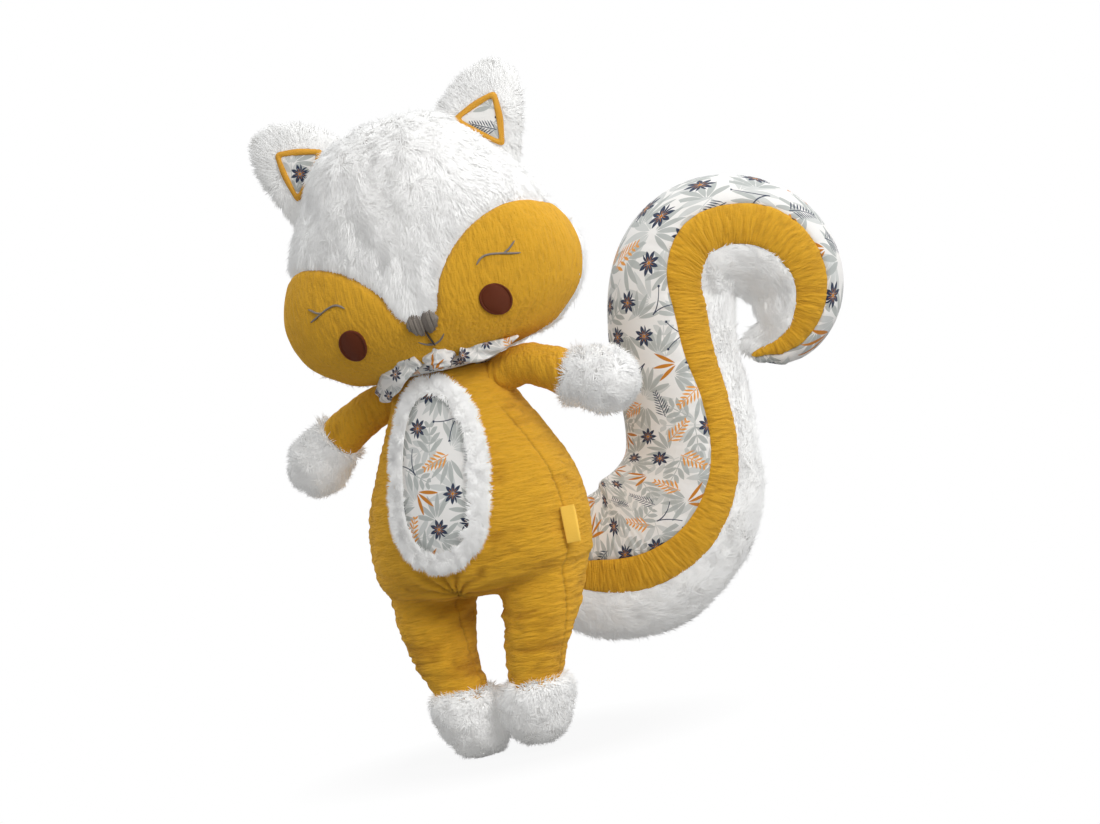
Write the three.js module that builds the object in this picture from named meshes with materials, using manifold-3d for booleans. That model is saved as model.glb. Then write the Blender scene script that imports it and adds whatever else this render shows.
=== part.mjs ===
// A plush squirrel about 34 cm tall: a pear-shaped cotton-gauze body with stuffed arms and legs,
// fur mitts and feet, a fur hood with gauze cheeks, a printed scarf knotted at the neck, and a
// big S-shaped tail. Every stuffed member is a thin sewn cover around its own filling, and each
// limb turns in the filling of the piece that carries it.
// Millimetres, +Z up through the head, the face towards -Y, the toy's own left side towards +X.
import * as THREE from 'three';
import { mergeVertices } from 'three/addons/utils/BufferGeometryUtils.js';
import Module from 'manifold-3d';

const wasm = await Module();
wasm.setup();

// Cloth and clearances
const coverThickness = 0.9;
const fitGap = 0.3;
const jointGap = 0.55;
const overrun = 800;

// Legs and feet
const legLength = 84;
const legSpread = 27;
const thighHalfWidth = 25;
const footHalfWidth = 17.5;
const footHalfLength = 21;
const hipRise = 14;
const legAngles = { back: -10, forward: 30 };

// Torso
const torsoHeight = 122;
const torsoHalfWidth = 60;
const torsoHalfDepth = 45;
const sideSeamForward = 12;
const tummyHalfWidth = 29;
const tummyTopMargin = 1.6;
const tummyBottomMargin = 22.4;
const tummyFurWidth = 9;
const tummyFurThickness = 2.4;
const tummyPrintThickness = 1.2;
const labelHeight = 18;
const labelWidth = 7;
const labelThickness = 1.4;

// Neck and scarf
const neckRadius = 17;
const neckRise = 7.5;
const scarfMidRadius = 24;
const scarfHalfWidth = 5.2;
const scarfHalfThickness = 5;
const knotHalfWidth = 8;
const knotHalfHeight = 6.4;
const knotHalfDepth = 5.5;
const knotReach = 32.5;
const knotTurnAngle = 25;
const scarfEndLength = 46;
const scarfEndHalfWidth = 8;
const scarfEndHalfThickness = 1.8;
const scarfRootRadius = 2.4;

// Head
const headHalfHeight = 62.5;
const headHalfWidth = 77;
const headHalfDepth = 48;
const muzzleReach = 4.5;
const headTurnAngle = 14;
const headTiltAngle = -6;
const nodAngle = 6;
const chinDrop = 1.5;
const noseWidth = 16;
const noseHeight = 9;
const blushRadius = 7.5;
const lashWidth = 20;
const lashThickness = 1.3;
const mouthWidth = 13;
const trimThickness = 0.8;
const noseThickness = 1.6;

// Ears
const earReach = 44;
const earThickness = 13;
const earForward = 4;
const earBevel = 3.5;
const earFoldAngle = 20;
const liningThickness = 1;
const liningBorder = 3;

// Arms and mitts
const armReach = 61;
const armHalfThickness = 10.8;
const mittHalfThickness = 16;
const mittHalfLength = 17;
const armAngles = { lower: -14, raise: 4 };

// Tail
const tailHeight = 175;
const tailReach = 188;
const tailHalfWidth = 42;
const tailHalfDepth = 28;
const tailRootRadius = 15;
const tailRootOut = 2;
const tailPlaneAngle = 26;
const tailSetBack = 17;

// Places worked out from those sizes
const crotchZ = legLength - hipRise;
const torsoTopZ = crotchZ + torsoHeight;
const neckPivotZ = torsoTopZ + neckRise;
const headCentreZ = neckPivotZ - chinDrop + headHalfHeight;
const liningGap = coverThickness + fitGap;
const radians = THREE.MathUtils.degToRad;

// Materials
const cloth = (color, roughness) => new THREE.MeshStandardMaterial({ color, roughness, metalness: 0 });
const mustard = () => cloth('#cf9632', 0.9);
const whiteFur = () => cloth('#f1efea', 1);
const printed = () => cloth('#e6e4dc', 0.9);
const greyThread = () => cloth('#6d6a68', 0.6);
const brownThread = () => cloth('#63301d', 0.6);
const mustardThread = () => cloth('#c98f22', 0.55);
const filling = () => cloth('#f7f5ef', 1);

// Solids and cuts

// A closed mesh as a solid; a mesh that is inside out is turned the right way first.
function solid(geometry) {
  const bare = new THREE.BufferGeometry();
  bare.setAttribute('position', geometry.getAttribute('position').clone());
  if (geometry.index) bare.setIndex(geometry.index.clone());
  const merged = mergeVertices(bare);
  const place = merged.getAttribute('position');
  const index = merged.index.array;
  const corner = (i) => new THREE.Vector3().fromBufferAttribute(place, index[i]);
  let volume = 0;
  for (let i = 0; i < index.length; i += 3) volume += corner(i).dot(corner(i + 1).cross(corner(i + 2)));
  const triVerts = Uint32Array.from(index);
  if (volume < 0) triVerts.reverse();
  const vertProperties = Float32Array.from(place.array);
  return new wasm.Manifold(new wasm.Mesh({ numProp: 3, vertProperties, triVerts }));
}

function surface(piece) {
  const { vertProperties, triVerts } = piece.getMesh();
  const geometry = new THREE.BufferGeometry();
  geometry.setAttribute('position', new THREE.BufferAttribute(Float32Array.from(vertProperties), 3));
  geometry.setIndex(new THREE.BufferAttribute(Uint32Array.from(triVerts), 1));
  return geometry;
}

const joined = (pieces) => pieces.reduce((whole, piece) => whole.add(piece));
const without = (piece, ...cutters) => cutters.reduce((rest, cutter) => rest.subtract(cutter), piece);

const xAxis = new THREE.Vector3(1, 0, 0);
const yAxis = new THREE.Vector3(0, 1, 0);
const zAxis = new THREE.Vector3(0, 0, 1);

// All of space on one side of a plane through a point.
function beyond(point, normal) {
  const block = new THREE.BoxGeometry(2 * overrun, 2 * overrun, overrun).translate(0, 0, overrun / 2);
  const turn = new THREE.Quaternion().setFromUnitVectors(zAxis, normal.clone().normalize());
  return solid(block.applyQuaternion(turn).translate(point.x, point.y, point.z));
}

// A turn about an axis through a point.
function turnAbout(point, axis, degrees) {
  const turn = new THREE.Matrix4().makeRotationAxis(axis.clone().normalize(), radians(degrees));
  const away = new THREE.Matrix4().makeTranslation(point.x, point.y, point.z);
  const home = new THREE.Matrix4().makeTranslation(-point.x, -point.y, -point.z);
  return away.multiply(turn).multiply(home);
}

// The room that a member takes up as it turns through its range.
function sweptRoom(geometry, point, axis, from, to, steps) {
  const poses = Array.from({ length: steps + 1 }, (_, i) => from + ((to - from) * i) / steps);
  return joined(poses.map((degrees) => solid(geometry.clone().applyMatrix4(turnAbout(point, axis, degrees)))));
}

// Lofts

// Rings of points joined into one closed skin, with a fan over each end.
function loft(rings) {
  const sides = rings[0].length;
  const points = rings.flat();
  const index = [];
  for (let i = 0; i + 1 < rings.length; i += 1) {
    for (let j = 0; j < sides; j += 1) {
      const a = i * sides + j;
      const b = i * sides + ((j + 1) % sides);
      index.push(a, b, b + sides, a, b + sides, a + sides);
    }
  }
  for (const [ring, last] of [[0, false], [rings.length - 1, true]]) {
    const middle = new THREE.Vector3();
    rings[ring].forEach((point) => middle.addScaledVector(point, 1 / sides));
    points.push(middle);
    for (let j = 0; j < sides; j += 1) {
      const a = ring * sides + j;
      const b = ring * sides + ((j + 1) % sides);
      if (last) index.push(points.length - 1, a, b);
      else index.push(points.length - 1, b, a);
    }
  }
  const geometry = new THREE.BufferGeometry();
  const places = points.flatMap((point) => point.toArray());
  geometry.setAttribute('position', new THREE.Float32BufferAttribute(places, 3));
  geometry.setIndex(index);
  return geometry;
}

// A value's power with its sign kept, for the rounded-box section below.
const signedPower = (value, power) => Math.sign(value) * Math.abs(value) ** power;

// One ring of a section that lies between an ellipse (squareness 2) and a rounded box.
function ring(station, swell, sides, squareness) {
  return Array.from({ length: sides }, (_, j) => {
    const angle = station.angles ? station.angles[j] : (2 * Math.PI * j) / sides;
    const wide = (station.wide + swell) * signedPower(Math.cos(angle), 2 / squareness);
    const deep = (station.deep + swell) * signedPower(Math.sin(angle), 2 / squareness);
    return station.at.clone().addScaledVector(station.across, wide).addScaledVector(station.through, deep);
  });
}

// The rings of a rounded end: each one's place along the end's reach, and the share of the section
// that a quarter circle leaves there.
const endShares = [[0.5, 0.866], [0.883, 0.469]];
function roundedEnd(station, swell, outward, sides, squareness) {
  const reach = (station.reach ?? station.wide) + swell;
  return endShares.map(([along, shrink]) => {
    const at = station.at.clone().addScaledVector(outward, reach * along);
    const wide = (station.wide + swell) * shrink;
    const deep = (station.deep + swell) * shrink;
    return ring({ ...station, at, wide, deep }, 0, sides, squareness);
  });
}

// A member along a path, round at both ends. Each station has its middle, its half sizes and the
// two directions that its section lies in.
function member(stations, swell, sides, squareness = 2) {
  const first = stations[0];
  const last = stations[stations.length - 1];
  return loft([
    ...roundedEnd(first, swell, first.along.clone().negate(), sides, squareness).reverse(),
    ...stations.map((station) => ring(station, swell, sides, squareness)),
    ...roundedEnd(last, swell, last.along, sides, squareness),
  ]);
}

// Stations on a chain of points, with the section's second direction held as near a given one, or
// the row's own outward one, as the path allows.
function alongPath(rows, through) {
  return rows.map((row, i) => {
    const before = rows[Math.max(i - 1, 0)].at;
    const after = rows[Math.min(i + 1, rows.length - 1)].at;
    const along = after.clone().sub(before).normalize();
    const held = row.outward ?? through;
    const flat = held.clone().addScaledVector(along, -held.dot(along)).normalize();
    return { ...row, along, through: flat, across: new THREE.Vector3().crossVectors(flat, along).normalize() };
  });
}

// A smooth row between the rows of a table (Catmull-Rom), for t from 0 to 1.
function smoothRow(table, t) {
  const last = table.length - 1;
  const i = Math.min(Math.floor(t * last), last - 1);
  const f = t * last - i;
  const row = (k) => table[Math.min(Math.max(k, 0), last)];
  return row(i).map((here, column) => {
    const before = row(i - 1)[column];
    const next = row(i + 1)[column];
    const after = row(i + 2)[column];
    const bend = 2 * before - 5 * here + 4 * next - after + f * (3 * (here - next) + after - before);
    return here + (f / 2) * (next - before + f * bend);
  });
}

const level = (x, y, z, wide, deep) => (
  { at: new THREE.Vector3(x, y, z), wide, deep, across: xAxis, through: yAxis });

// Torso

// Height, half width and half depth, as shares of the torso's own.
const torsoShares = [
  [0, 0.6, 0.52], [0.03, 0.78, 0.73], [0.09, 0.93, 0.91], [0.2, 0.98, 0.98], [0.37, 1, 1],
  [0.53, 0.95, 0.94], [0.7, 0.81, 0.81], [0.86, 0.62, 0.64], [0.945, 0.52, 0.54], [1, 0.44, 0.47],
];
const torsoSides = 18;
const torsoSquareness = 2.2;

function torso(swell) {
  return loft(torsoShares.map(([up, wide, deep]) => {
    const z = crotchZ - swell + up * (torsoHeight + 2 * swell);
    const station = level(0, 0, z, wide * torsoHalfWidth, deep * torsoHalfDepth);
    return ring(station, swell, torsoSides, torsoSquareness);
  }));
}

// Legs: one loft from the flat sole to the round top that turns in the torso's filling.

const hip = (side) => new THREE.Vector3(side * legSpread, 0, legLength);
// Height, spread and forward shares of the leg, then half width and half depth of the foot.
const footShares = [
  [0, 0.69, 0.167, 0.42, 0.42], [0.035, 0.69, 0.167, 0.74, 0.75], [0.107, 0.69, 0.167, 0.93, 0.93],
  [0.22, 0.69, 0.165, 1, 1], [0.31, 0.7, 0.16, 0.95, 0.88],
];
// The same for the leg above the foot, in shares of the thigh's half width.
const calfShares = [
  [0.38, 0.74, 0.155, 0.55, 0.57], [0.45, 0.78, 0.153, 0.575, 0.585], [0.62, 0.87, 0.131, 0.72, 0.72],
  [0.81, 0.963, 0.071, 0.9, 0.9], [0.94, 0.99, 0.022, 0.98, 0.98], [1, 1, 0, 1, 1],
];
const legSides = 12;
const ankleUpShare = 0.365;
const ankleZ = ankleUpShare * legLength;

const legLevel = (side, [up, spread, forward, wide, deep], halfWidth, halfDepth) => level(
  side * spread * legSpread, -forward * legLength, up * legLength, wide * halfWidth, deep * halfDepth);

function leg(side, swell) {
  const levels = [
    ...footShares.map((row) => legLevel(side, row, footHalfWidth, footHalfLength)),
    ...calfShares.map((row) => legLevel(side, row, thighHalfWidth, thighHalfWidth)),
  ];
  levels[0].at.z -= swell;
  const top = levels[levels.length - 1];
  const dome = roundedEnd({ ...top, reach: thighHalfWidth }, swell, zAxis, legSides, 2);
  return loft([...levels.map((row) => ring(row, swell, legSides, 2)), ...dome]);
}

// Arms: a round shoulder, a sleeve and a fuller mitt. The toy's left arm is held out nearly level
// and its right arm hangs lower, each a list of outward, upward and thickness shares.
const armShares = {
  left: [[0, 0, 0.86], [0.17, 0.06, 0.88], [0.36, 0.085, 0.94], [0.58, 0, 1], [0.72, -0.08, 1.03]],
  right: [[0, 0, 0.86], [0.17, 0.02, 0.9], [0.39, -0.035, 0.96], [0.61, -0.14, 1], [0.72, -0.2, 1.03]],
};
// The mitt's stations, in shares of the mitt's half thickness.
const mittShares = {
  left: [[0.81, -0.115, 0.88], [1, -0.165, 1]],
  right: [[0.8, -0.255, 0.88], [0.96, -0.37, 1]],
};
const mittFlatShare = 0.92;
const shoulderOutShare = 0.392;
const shoulderUpShare = 0.915;
const armSides = 10;
const sideOf = { left: 1, right: -1 };
const shoulder = (hand) => new THREE.Vector3(
  sideOf[hand] * shoulderOutShare * torsoHalfWidth, 0, crotchZ + shoulderUpShare * torsoHeight,
);

function armStations(hand) {
  const place = (out, up) => shoulder(hand)
    .add(new THREE.Vector3(sideOf[hand] * out * armReach, 0, up * armReach));
  const sleeve = armShares[hand].map(([out, up, thick]) => {
    const half = thick * armHalfThickness;
    return { at: place(out, up), wide: half, deep: half };
  });
  const mitt = mittShares[hand].map(([out, up, thick]) => {
    const half = thick * mittHalfThickness;
    return { at: place(out, up), wide: half, deep: mittFlatShare * half, reach: mittHalfLength };
  });
  return alongPath([...sleeve, ...mitt], yAxis);
}
const arm = (hand, swell) => member(armStations(hand), swell, armSides);

// Head, in its own frame with the origin at the middle of the head

// Height, half width and half depth, as shares of the head's own.
const headShares = [
  [-1, 0.34, 0.34], [-0.96, 0.584, 0.54], [-0.9, 0.727, 0.6875], [-0.736, 0.896, 0.854],
  [-0.576, 0.974, 0.938], [-0.4, 1, 0.985], [-0.2, 0.97, 1], [0.05, 0.865, 1], [0.3, 0.792, 0.979],
  [0.5, 0.74, 0.9], [0.68, 0.645, 0.78], [0.83, 0.5, 0.6], [0.94, 0.31, 0.37], [1, 0.07, 0.09],
];
const headSides = 20;
const headSquareness = 2.3;
const muzzleUpShare = -0.66;
const muzzleHeightShare = 0.35;
const muzzleWidthShare = 0.42;

function head(swell) {
  return loft(headShares.map(([up, wide, deep]) => {
    const z = up * (headHalfHeight + swell);
    const station = level(0, 0, z, wide * headHalfWidth, deep * headHalfDepth);
    const points = ring(station, swell, headSides, headSquareness);
    const near = Math.exp(-(((up - muzzleUpShare) / muzzleHeightShare) ** 2));
    return points.map((point) => {
      const middle = Math.exp(-((point.x / (muzzleWidthShare * headHalfWidth)) ** 2));
      if (point.y < 0) point.y -= muzzleReach * near * middle * Math.min(1, -point.y / (headHalfDepth / 2));
      return point;
    });
  }));
}

const headPlace = new THREE.Matrix4().makeTranslation(0, 0, headCentreZ)
  .multiply(new THREE.Matrix4().makeRotationZ(radians(headTurnAngle)))
  .multiply(new THREE.Matrix4().makeRotationY(radians(headTiltAngle)));
const intoHead = headPlace.clone().invert();
const neckPivot = new THREE.Vector3(0, 0, neckPivotZ);

// Outlines in the head's own x and z, in shares of its half width and half height.
function outline(shares, halfWidth, halfHeight) {
  return new THREE.Shape(shares.map(([x, z]) => new THREE.Vector2(x * halfWidth, z * halfHeight)));
}

// A flat outline, drawn in x and z, pushed forward through everything in front of the side seam.
function frontPrism(shape) {
  return solid(new THREE.ExtrudeGeometry(shape, { depth: overrun, bevelEnabled: false, curveSegments: 10 })
    .rotateX(Math.PI / 2));
}

// The border of the left cheek: from the chin's middle seam up beside the fur peak, over the
// cheek and out past the side seam.
const cheekShares = [
  [0, -0.72], [0.117, -0.616], [0.156, -0.496], [0.216, -0.32], [0.348, -0.125], [0.532, 0], [0.727, 0.048],
  [0.883, 0], [1.1, -0.19], [1.2, -0.5], [1.2, -1.1], [0, -1.1],
];
const mirrored = (shares) => shares.map(([x, z]) => [-x, z]).reverse();
const cheekPrism = {
  left: frontPrism(outline(cheekShares, headHalfWidth, headHalfHeight)),
  right: frontPrism(outline(mirrored(cheekShares), headHalfWidth, headHalfHeight)),
};

// A thin patch that lies on a surface: what an outline's prism cuts from a skin just above it.
function patch(skin, prism, thickness) {
  return solid(skin(fitGap + thickness)).subtract(solid(skin(fitGap))).intersect(prism);
}

// Room under the head: the neck's round filling, the scarf band all round and the scarf's knot in
// front, each cleared through the whole nod.
function turnedProfile(points) {
  return new THREE.LatheGeometry(points.map(([r, z]) => new THREE.Vector2(r, z)), 18).rotateX(Math.PI / 2);
}
const scarfTopZ = torsoTopZ + 2 * scarfHalfThickness + fitGap;
const bandRadius = scarfMidRadius + scarfHalfWidth;
const knotTopZ = torsoTopZ + fitGap + 2 * knotHalfHeight;
function roomUnderHead() {
  const below = torsoTopZ - neckRadius;
  const disc = (radius, top) => turnedProfile([[0, below], [radius, below], [radius, top], [0, top]]);
  const band = solid(disc(bandRadius + 2 * jointGap, scarfTopZ + jointGap));
  const front = beyond(new THREE.Vector3(), new THREE.Vector3(0, -1, 0));
  const knot = solid(disc(knotReach + knotHalfDepth + jointGap, knotTopZ + jointGap)).intersect(front);
  const room = surface(band.add(knot));
  return [-nodAngle, 0, nodAngle].map((nod) => {
    const turn = new THREE.Matrix4().makeRotationZ(radians(headTurnAngle));
    const place = turn.multiply(turnAbout(neckPivot, xAxis, nod));
    return solid(room.clone().applyMatrix4(intoHead.clone().multiply(place)));
  });
}
const plainBall = { sides: 14, bands: 9 };
const fineBall = { sides: 22, bands: 13 };
const ball = (radius, centre, { sides, bands }) => new THREE.SphereGeometry(radius, sides, bands)
  .rotateX(Math.PI / 2).translate(centre.x, centre.y, centre.z);
// A socket whose flat facets, and not its corners, clear the ball.
function socket(radius, centre, grain) {
  const flatShare = Math.cos(Math.PI / grain.sides) * Math.cos(Math.PI / (2 * grain.bands));
  return ball((radius + jointGap) / flatShare, centre, grain);
}
const headRoom = [
  ...roomUnderHead(),
  solid(socket(neckRadius, neckPivot, fineBall).applyMatrix4(intoHead)),
];

const headSolid = without(solid(head(-liningGap)), ...headRoom);
const headShell = without(solid(head(0)).subtract(solid(head(-coverThickness))), ...headRoom);
const seamFront = beyond(new THREE.Vector3(0, -fitGap / 2, 0), new THREE.Vector3(0, -1, 0));
const seamBack = beyond(new THREE.Vector3(0, fitGap / 2, 0), new THREE.Vector3(0, 1, 0));
const headFront = headShell.intersect(seamFront);

// A cheek lies inside its own border and stops at the chin's middle seam.
function cheekPiece(hand) {
  const side = sideOf[hand];
  const middle = beyond(new THREE.Vector3((side * fitGap) / 2, 0, 0), new THREE.Vector3(side, 0, 0));
  return headFront.intersect(cheekPrism[hand]).intersect(middle);
}

// The hood is what a cheek's outline, grown by the sewn seam, leaves of the head's front.
function grownOutline(shares, halfWidth, halfHeight, growth) {
  const shape = shares.map(([x, z]) => new THREE.Vector2(x * halfWidth, z * halfHeight));
  return new THREE.Shape(shape.map((point, i) => {
    const before = shape[(i + shape.length - 1) % shape.length];
    const after = shape[(i + 1) % shape.length];
    const into = point.clone().sub(before).normalize();
    const out = after.clone().sub(point).normalize();
    const normal = new THREE.Vector2(out.y + into.y, -out.x - into.x).normalize();
    const sharp = Math.max(normal.dot(new THREE.Vector2(into.y, -into.x)), 0.5);
    return point.clone().addScaledVector(normal, growth / sharp);
  }));
}
const grownCheeks = [cheekShares, mirrored(cheekShares)].map((shares) => {
  const area = THREE.ShapeUtils.area(shares.map(([x, z]) => new THREE.Vector2(x, z)));
  return frontPrism(grownOutline(shares, headHalfWidth, headHalfHeight, Math.sign(area) * fitGap));
});
const hood = without(headFront, ...grownCheeks);

// Embroidered features, each an outline in the head's x and z
const noseUpShare = -0.656;
// The nose's two lobes: a start at the top's dip, then each curve's two handles and its end.
const noseShares = [
  [[0.2, 0.62], [0.5, 0.55], [0.5, 0.08]], [[0.5, -0.3], [0.2, -0.5], [0, -0.5]],
  [[-0.2, -0.5], [-0.5, -0.3], [-0.5, 0.08]], [[-0.5, 0.55], [-0.2, 0.62], [0, 0.32]],
];
function noseShape() {
  const place = ([x, z]) => [x * noseWidth, noseUpShare * headHalfHeight + z * noseHeight];
  const shape = new THREE.Shape();
  shape.moveTo(...place(noseShares[noseShares.length - 1][2]));
  for (const curve of noseShares) shape.bezierCurveTo(...curve.flatMap(place));
  return shape;
}

const blushPlaceShares = [0.494, -0.656];
function blushShape(side) {
  const shape = new THREE.Shape();
  const x = side * blushPlaceShares[0] * headHalfWidth;
  shape.absarc(x, blushPlaceShares[1] * headHalfHeight, blushRadius, 0, 2 * Math.PI);
  return shape;
}

// A line of one thickness along points, as a closed outline.
function strokeShape(points, thickness) {
  const edge = (side) => points.map((point, i) => {
    const before = points[Math.max(i - 1, 0)];
    const after = points[Math.min(i + 1, points.length - 1)];
    const along = after.clone().sub(before).normalize();
    return point.clone().add(new THREE.Vector2(-along.y, along.x).multiplyScalar((side * thickness) / 2));
  });
  return new THREE.Shape([...edge(1), ...edge(-1).reverse()]);
}

const eyePlaceShares = [0.6, -0.328];
// The closed eye: a low arch from its inner end, with one lash that rises near its outer end.
const lashShares = [
  [-0.5, -0.03], [-0.38, 0.07], [-0.25, 0.11], [-0.08, 0.095], [0.1, 0.05], [0.3, -0.01], [0.5, -0.065],
];
const outerLashShares = [[0.15, 0.04], [0.3, 0.11], [0.45, 0.235]];
function eyeShapes(side) {
  const place = ([x, z]) => new THREE.Vector2(
    side * (eyePlaceShares[0] * headHalfWidth + x * lashWidth),
    eyePlaceShares[1] * headHalfHeight + z * lashWidth,
  );
  return [lashShares, outerLashShares].map((shares) => strokeShape(shares.map(place), lashThickness));
}

const mouthUpShare = -0.83;
// The mouth: a short line down from the nose and a shallow smile across its foot.
const smileShares = [[-0.5, 0.225], [-0.3, 0.081], [-0.1, 0.009], [0.1, 0.009], [0.3, 0.081], [0.5, 0.225]];
function mouthShapes() {
  const z = mouthUpShare * headHalfHeight;
  const smile = smileShares.map(([x, up]) => new THREE.Vector2(x * mouthWidth, z + up * mouthWidth));
  const top = noseUpShare * headHalfHeight - noseHeight / 2 - fitGap - lashThickness;
  const stem = [new THREE.Vector2(0, top), new THREE.Vector2(0, z)];
  return [strokeShape(stem, lashThickness), strokeShape(smile, lashThickness)];
}
const inked = (shapes, thickness) => joined(shapes.map((shape) => patch(head, frontPrism(shape), thickness)));

// Ears: soft rounded triangles sewn in the seam between the hood and the head's back. They fold
// about the line of that seam.
const earShares = [
  [0.3, 0.98], [0.52, 1.23], [0.9, 1.53], [1.2, 1.63], [1.43, 1.58], [1.56, 1.38], [1.53, 1.08], [1.4, 0.68],
  [1.25, 0.36], [1, 0.36],
];
const liningShares = [[0.84, 1.17], [1.32, 1.3], [1.25, 0.74]];
const foldPlaceShares = [1.1, 1.02];
const foldSlopeShares = [0.7, -0.714];
const earHinge = {
  at: (side) => new THREE.Vector3(
    side * foldPlaceShares[0] * earReach, earForward, foldPlaceShares[1] * earReach),
  axis: (side) => new THREE.Vector3(side * foldSlopeShares[0], 0, foldSlopeShares[1]),
};
const earOutline = (shares, side) => (side > 0 ? shares : mirrored(shares));

const earCurveSteps = 16;
function earPlate(shares, side, thickness, front, bevel) {
  const curve = new THREE.CatmullRomCurve3(earOutline(shares, side)
    .map(([x, z]) => new THREE.Vector3(x * earReach, z * earReach, 0)), true, 'centripetal');
  const points = bevel > 0 ? curve.getPoints(earCurveSteps).slice(0, -1) : curve.points;
  const shape = new THREE.Shape(points.map((point) => new THREE.Vector2(point.x, point.y)));
  const rounding = { bevelThickness: bevel, bevelSize: bevel, bevelOffset: -bevel, bevelSegments: 1 };
  const options = bevel > 0
    ? { depth: thickness - 2 * bevel, ...rounding }
    : { depth: thickness, bevelEnabled: false };
  return new THREE.ExtrudeGeometry(shape, options).rotateX(Math.PI / 2)
    .translate(0, front + thickness - bevel, 0);
}

// The head's room around a folding ear, one cutter for each end of the fold and one for rest.
function headAroundEar(side) {
  const skin = head(fitGap);
  return [-earFoldAngle, 0, earFoldAngle].map((fold) => (
    solid(skin.clone().applyMatrix4(turnAbout(earHinge.at(side), earHinge.axis(side), fold)))));
}

// A triangle grown about its middle, so that each side, half as far out as its corners, moves out
// by the growth.
function grownTriangle(shares, growth) {
  const middle = [0, 1].map((k) => shares.reduce((sum, point) => sum + point[k] / shares.length, 0));
  const corners = shares.map(([x, z]) => Math.hypot(x - middle[0], z - middle[1]) * earReach);
  const factor = 1 + (2 * growth) / Math.min(...corners);
  return shares.map((point) => point.map((value, k) => middle[k] + factor * (value - middle[k])));
}

function ear(side) {
  const around = headAroundEar(side);
  const front = earForward - earThickness / 2;
  const pad = without(solid(earPlate(earShares, side, earThickness, front, earBevel)), ...around);
  const plate = (growth, thickness) => solid(
    earPlate(grownTriangle(liningShares, growth), side, thickness, front - fitGap - thickness, 0));
  const lining = without(plate(0, liningThickness), ...around);
  const stitching = without(plate(liningBorder, liningThickness), plate(fitGap, overrun), ...around);
  return { pad, lining, stitching };
}

// Scarf: a rolled band around the neck, a knot in front and two pointed ends
const bandSides = 8;
function scarfBand(swell) {
  const middleZ = torsoTopZ + fitGap + scarfHalfThickness;
  const profile = Array.from({ length: bandSides + 1 }, (_, i) => {
    const angle = (2 * Math.PI * i) / bandSides;
    const out = (scarfHalfWidth + swell) * Math.cos(angle);
    return [scarfMidRadius + out, middleZ + (scarfHalfThickness + swell) * Math.sin(angle)];
  });
  return turnedProfile(profile);
}
const knotZ = torsoTopZ + fitGap + knotHalfHeight;
const aroundNeck = (radius, degrees, z) => new THREE.Vector3(
  radius * Math.sin(radians(degrees)), -radius * Math.cos(radians(degrees)), z);
function scarfKnot(swell) {
  return new THREE.SphereGeometry(1, 10, 7).rotateX(Math.PI / 2)
    .scale(knotHalfWidth + swell, knotHalfDepth + swell, knotHalfHeight + swell)
    .rotateZ(radians(knotTurnAngle)).translate(...aroundNeck(knotReach, knotTurnAngle, knotZ).toArray());
}

// Each end's path: radius, turn around the neck in degrees and drop, then width shares. The
// lengths are in shares of the end's own length.
const scarfEndShares = {
  right: [
    [0.76, 7.7, 0, 0.4], [0.76, -8, -0.07, 0.75], [0.75, -24, -0.14, 1], [0.74, -42, -0.22, 0.92],
    [0.76, -58, -0.29, 0.35],
  ],
  left: [
    [0.77, 41.8, 0, 0.4], [0.79, 55, -0.05, 0.62], [0.88, 66, -0.09, 0.58], [1.03, 73, -0.12, 0.32],
    [1.12, 76, -0.13, 0.2],
  ],
};
const scarfEndSides = 10;
function scarfEnd(hand, swell) {
  const rows = scarfEndShares[hand].map(([out, degrees, down, wide], i) => {
    const at = aroundNeck(out * scarfEndLength, degrees, knotZ + down * scarfEndLength);
    const half = i === 0 ? scarfRootRadius : wide * scarfEndHalfWidth;
    const deep = i === 0 ? scarfRootRadius : scarfEndHalfThickness;
    const outward = new THREE.Vector3(at.x, at.y, 0).normalize();
    return { at, wide: half, deep, reach: scarfRootRadius, outward };
  });
  return member(alongPath(rows, yAxis), swell, scarfEndSides);
}

// Tail: an S in one upright plane behind the body, with its own side and depth directions
const tailSide = new THREE.Vector3(Math.cos(radians(tailPlaneAngle)), Math.sin(radians(tailPlaneAngle)), 0);
const tailBack = new THREE.Vector3(-Math.sin(radians(tailPlaneAngle)), Math.cos(radians(tailPlaneAngle)), 0);
const tailRootUpShare = 0.15;
const tailRootBackShare = 0.965;
const tailRoot = new THREE.Vector3(
  0, tailRootBackShare * torsoHalfDepth + tailRootOut, crotchZ + tailRootUpShare * torsoHeight);
// Side and height shares of the tail, half width and half depth shares, set-back share, and the
// middle strip's two edges as shares of the width from the printed side.
const tailShares = [
  [0, 0, 0.357, 0.536, 0, 0.46, 0.68],
  [0.07, -0.02, 0.58, 0.47, 0.42, 0.46, 0.68],
  [0.15, -0.045, 0.79, 0.68, 0.85, 0.46, 0.68],
  [0.285, -0.05, 0.96, 0.93, 1, 0.5, 0.7],
  [0.415, 0.03, 0.97, 1, 1, 0.58, 0.78],
  [0.495, 0.18, 0.82, 1, 1, 0.65, 0.86],
  [0.508, 0.35, 0.74, 1, 1, 0.66, 0.88],
  [0.502, 0.5, 0.74, 1, 1, 0.6, 0.85],
  [0.508, 0.625, 0.74, 1, 1, 0.55, 0.81],
  [0.527, 0.735, 0.72, 1, 1, 0.46, 0.74],
  [0.606, 0.82, 0.72, 1, 1, 0.34, 0.64],
  [0.71, 0.828, 0.7, 0.97, 1, 0.28, 0.59],
  [0.81, 0.775, 0.67, 0.93, 1, 0.22, 0.57],
  [0.872, 0.645, 0.58, 0.8, 1, 0.2, 0.57],
  [0.828, 0.51, 0.42, 0.57, 1, 0.2, 0.55],
  [0.74, 0.475, 0.18, 0.28, 1, 0.2, 0.55],
];
const tailSteps = 16;
const tailPanelStart = 1;

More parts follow.
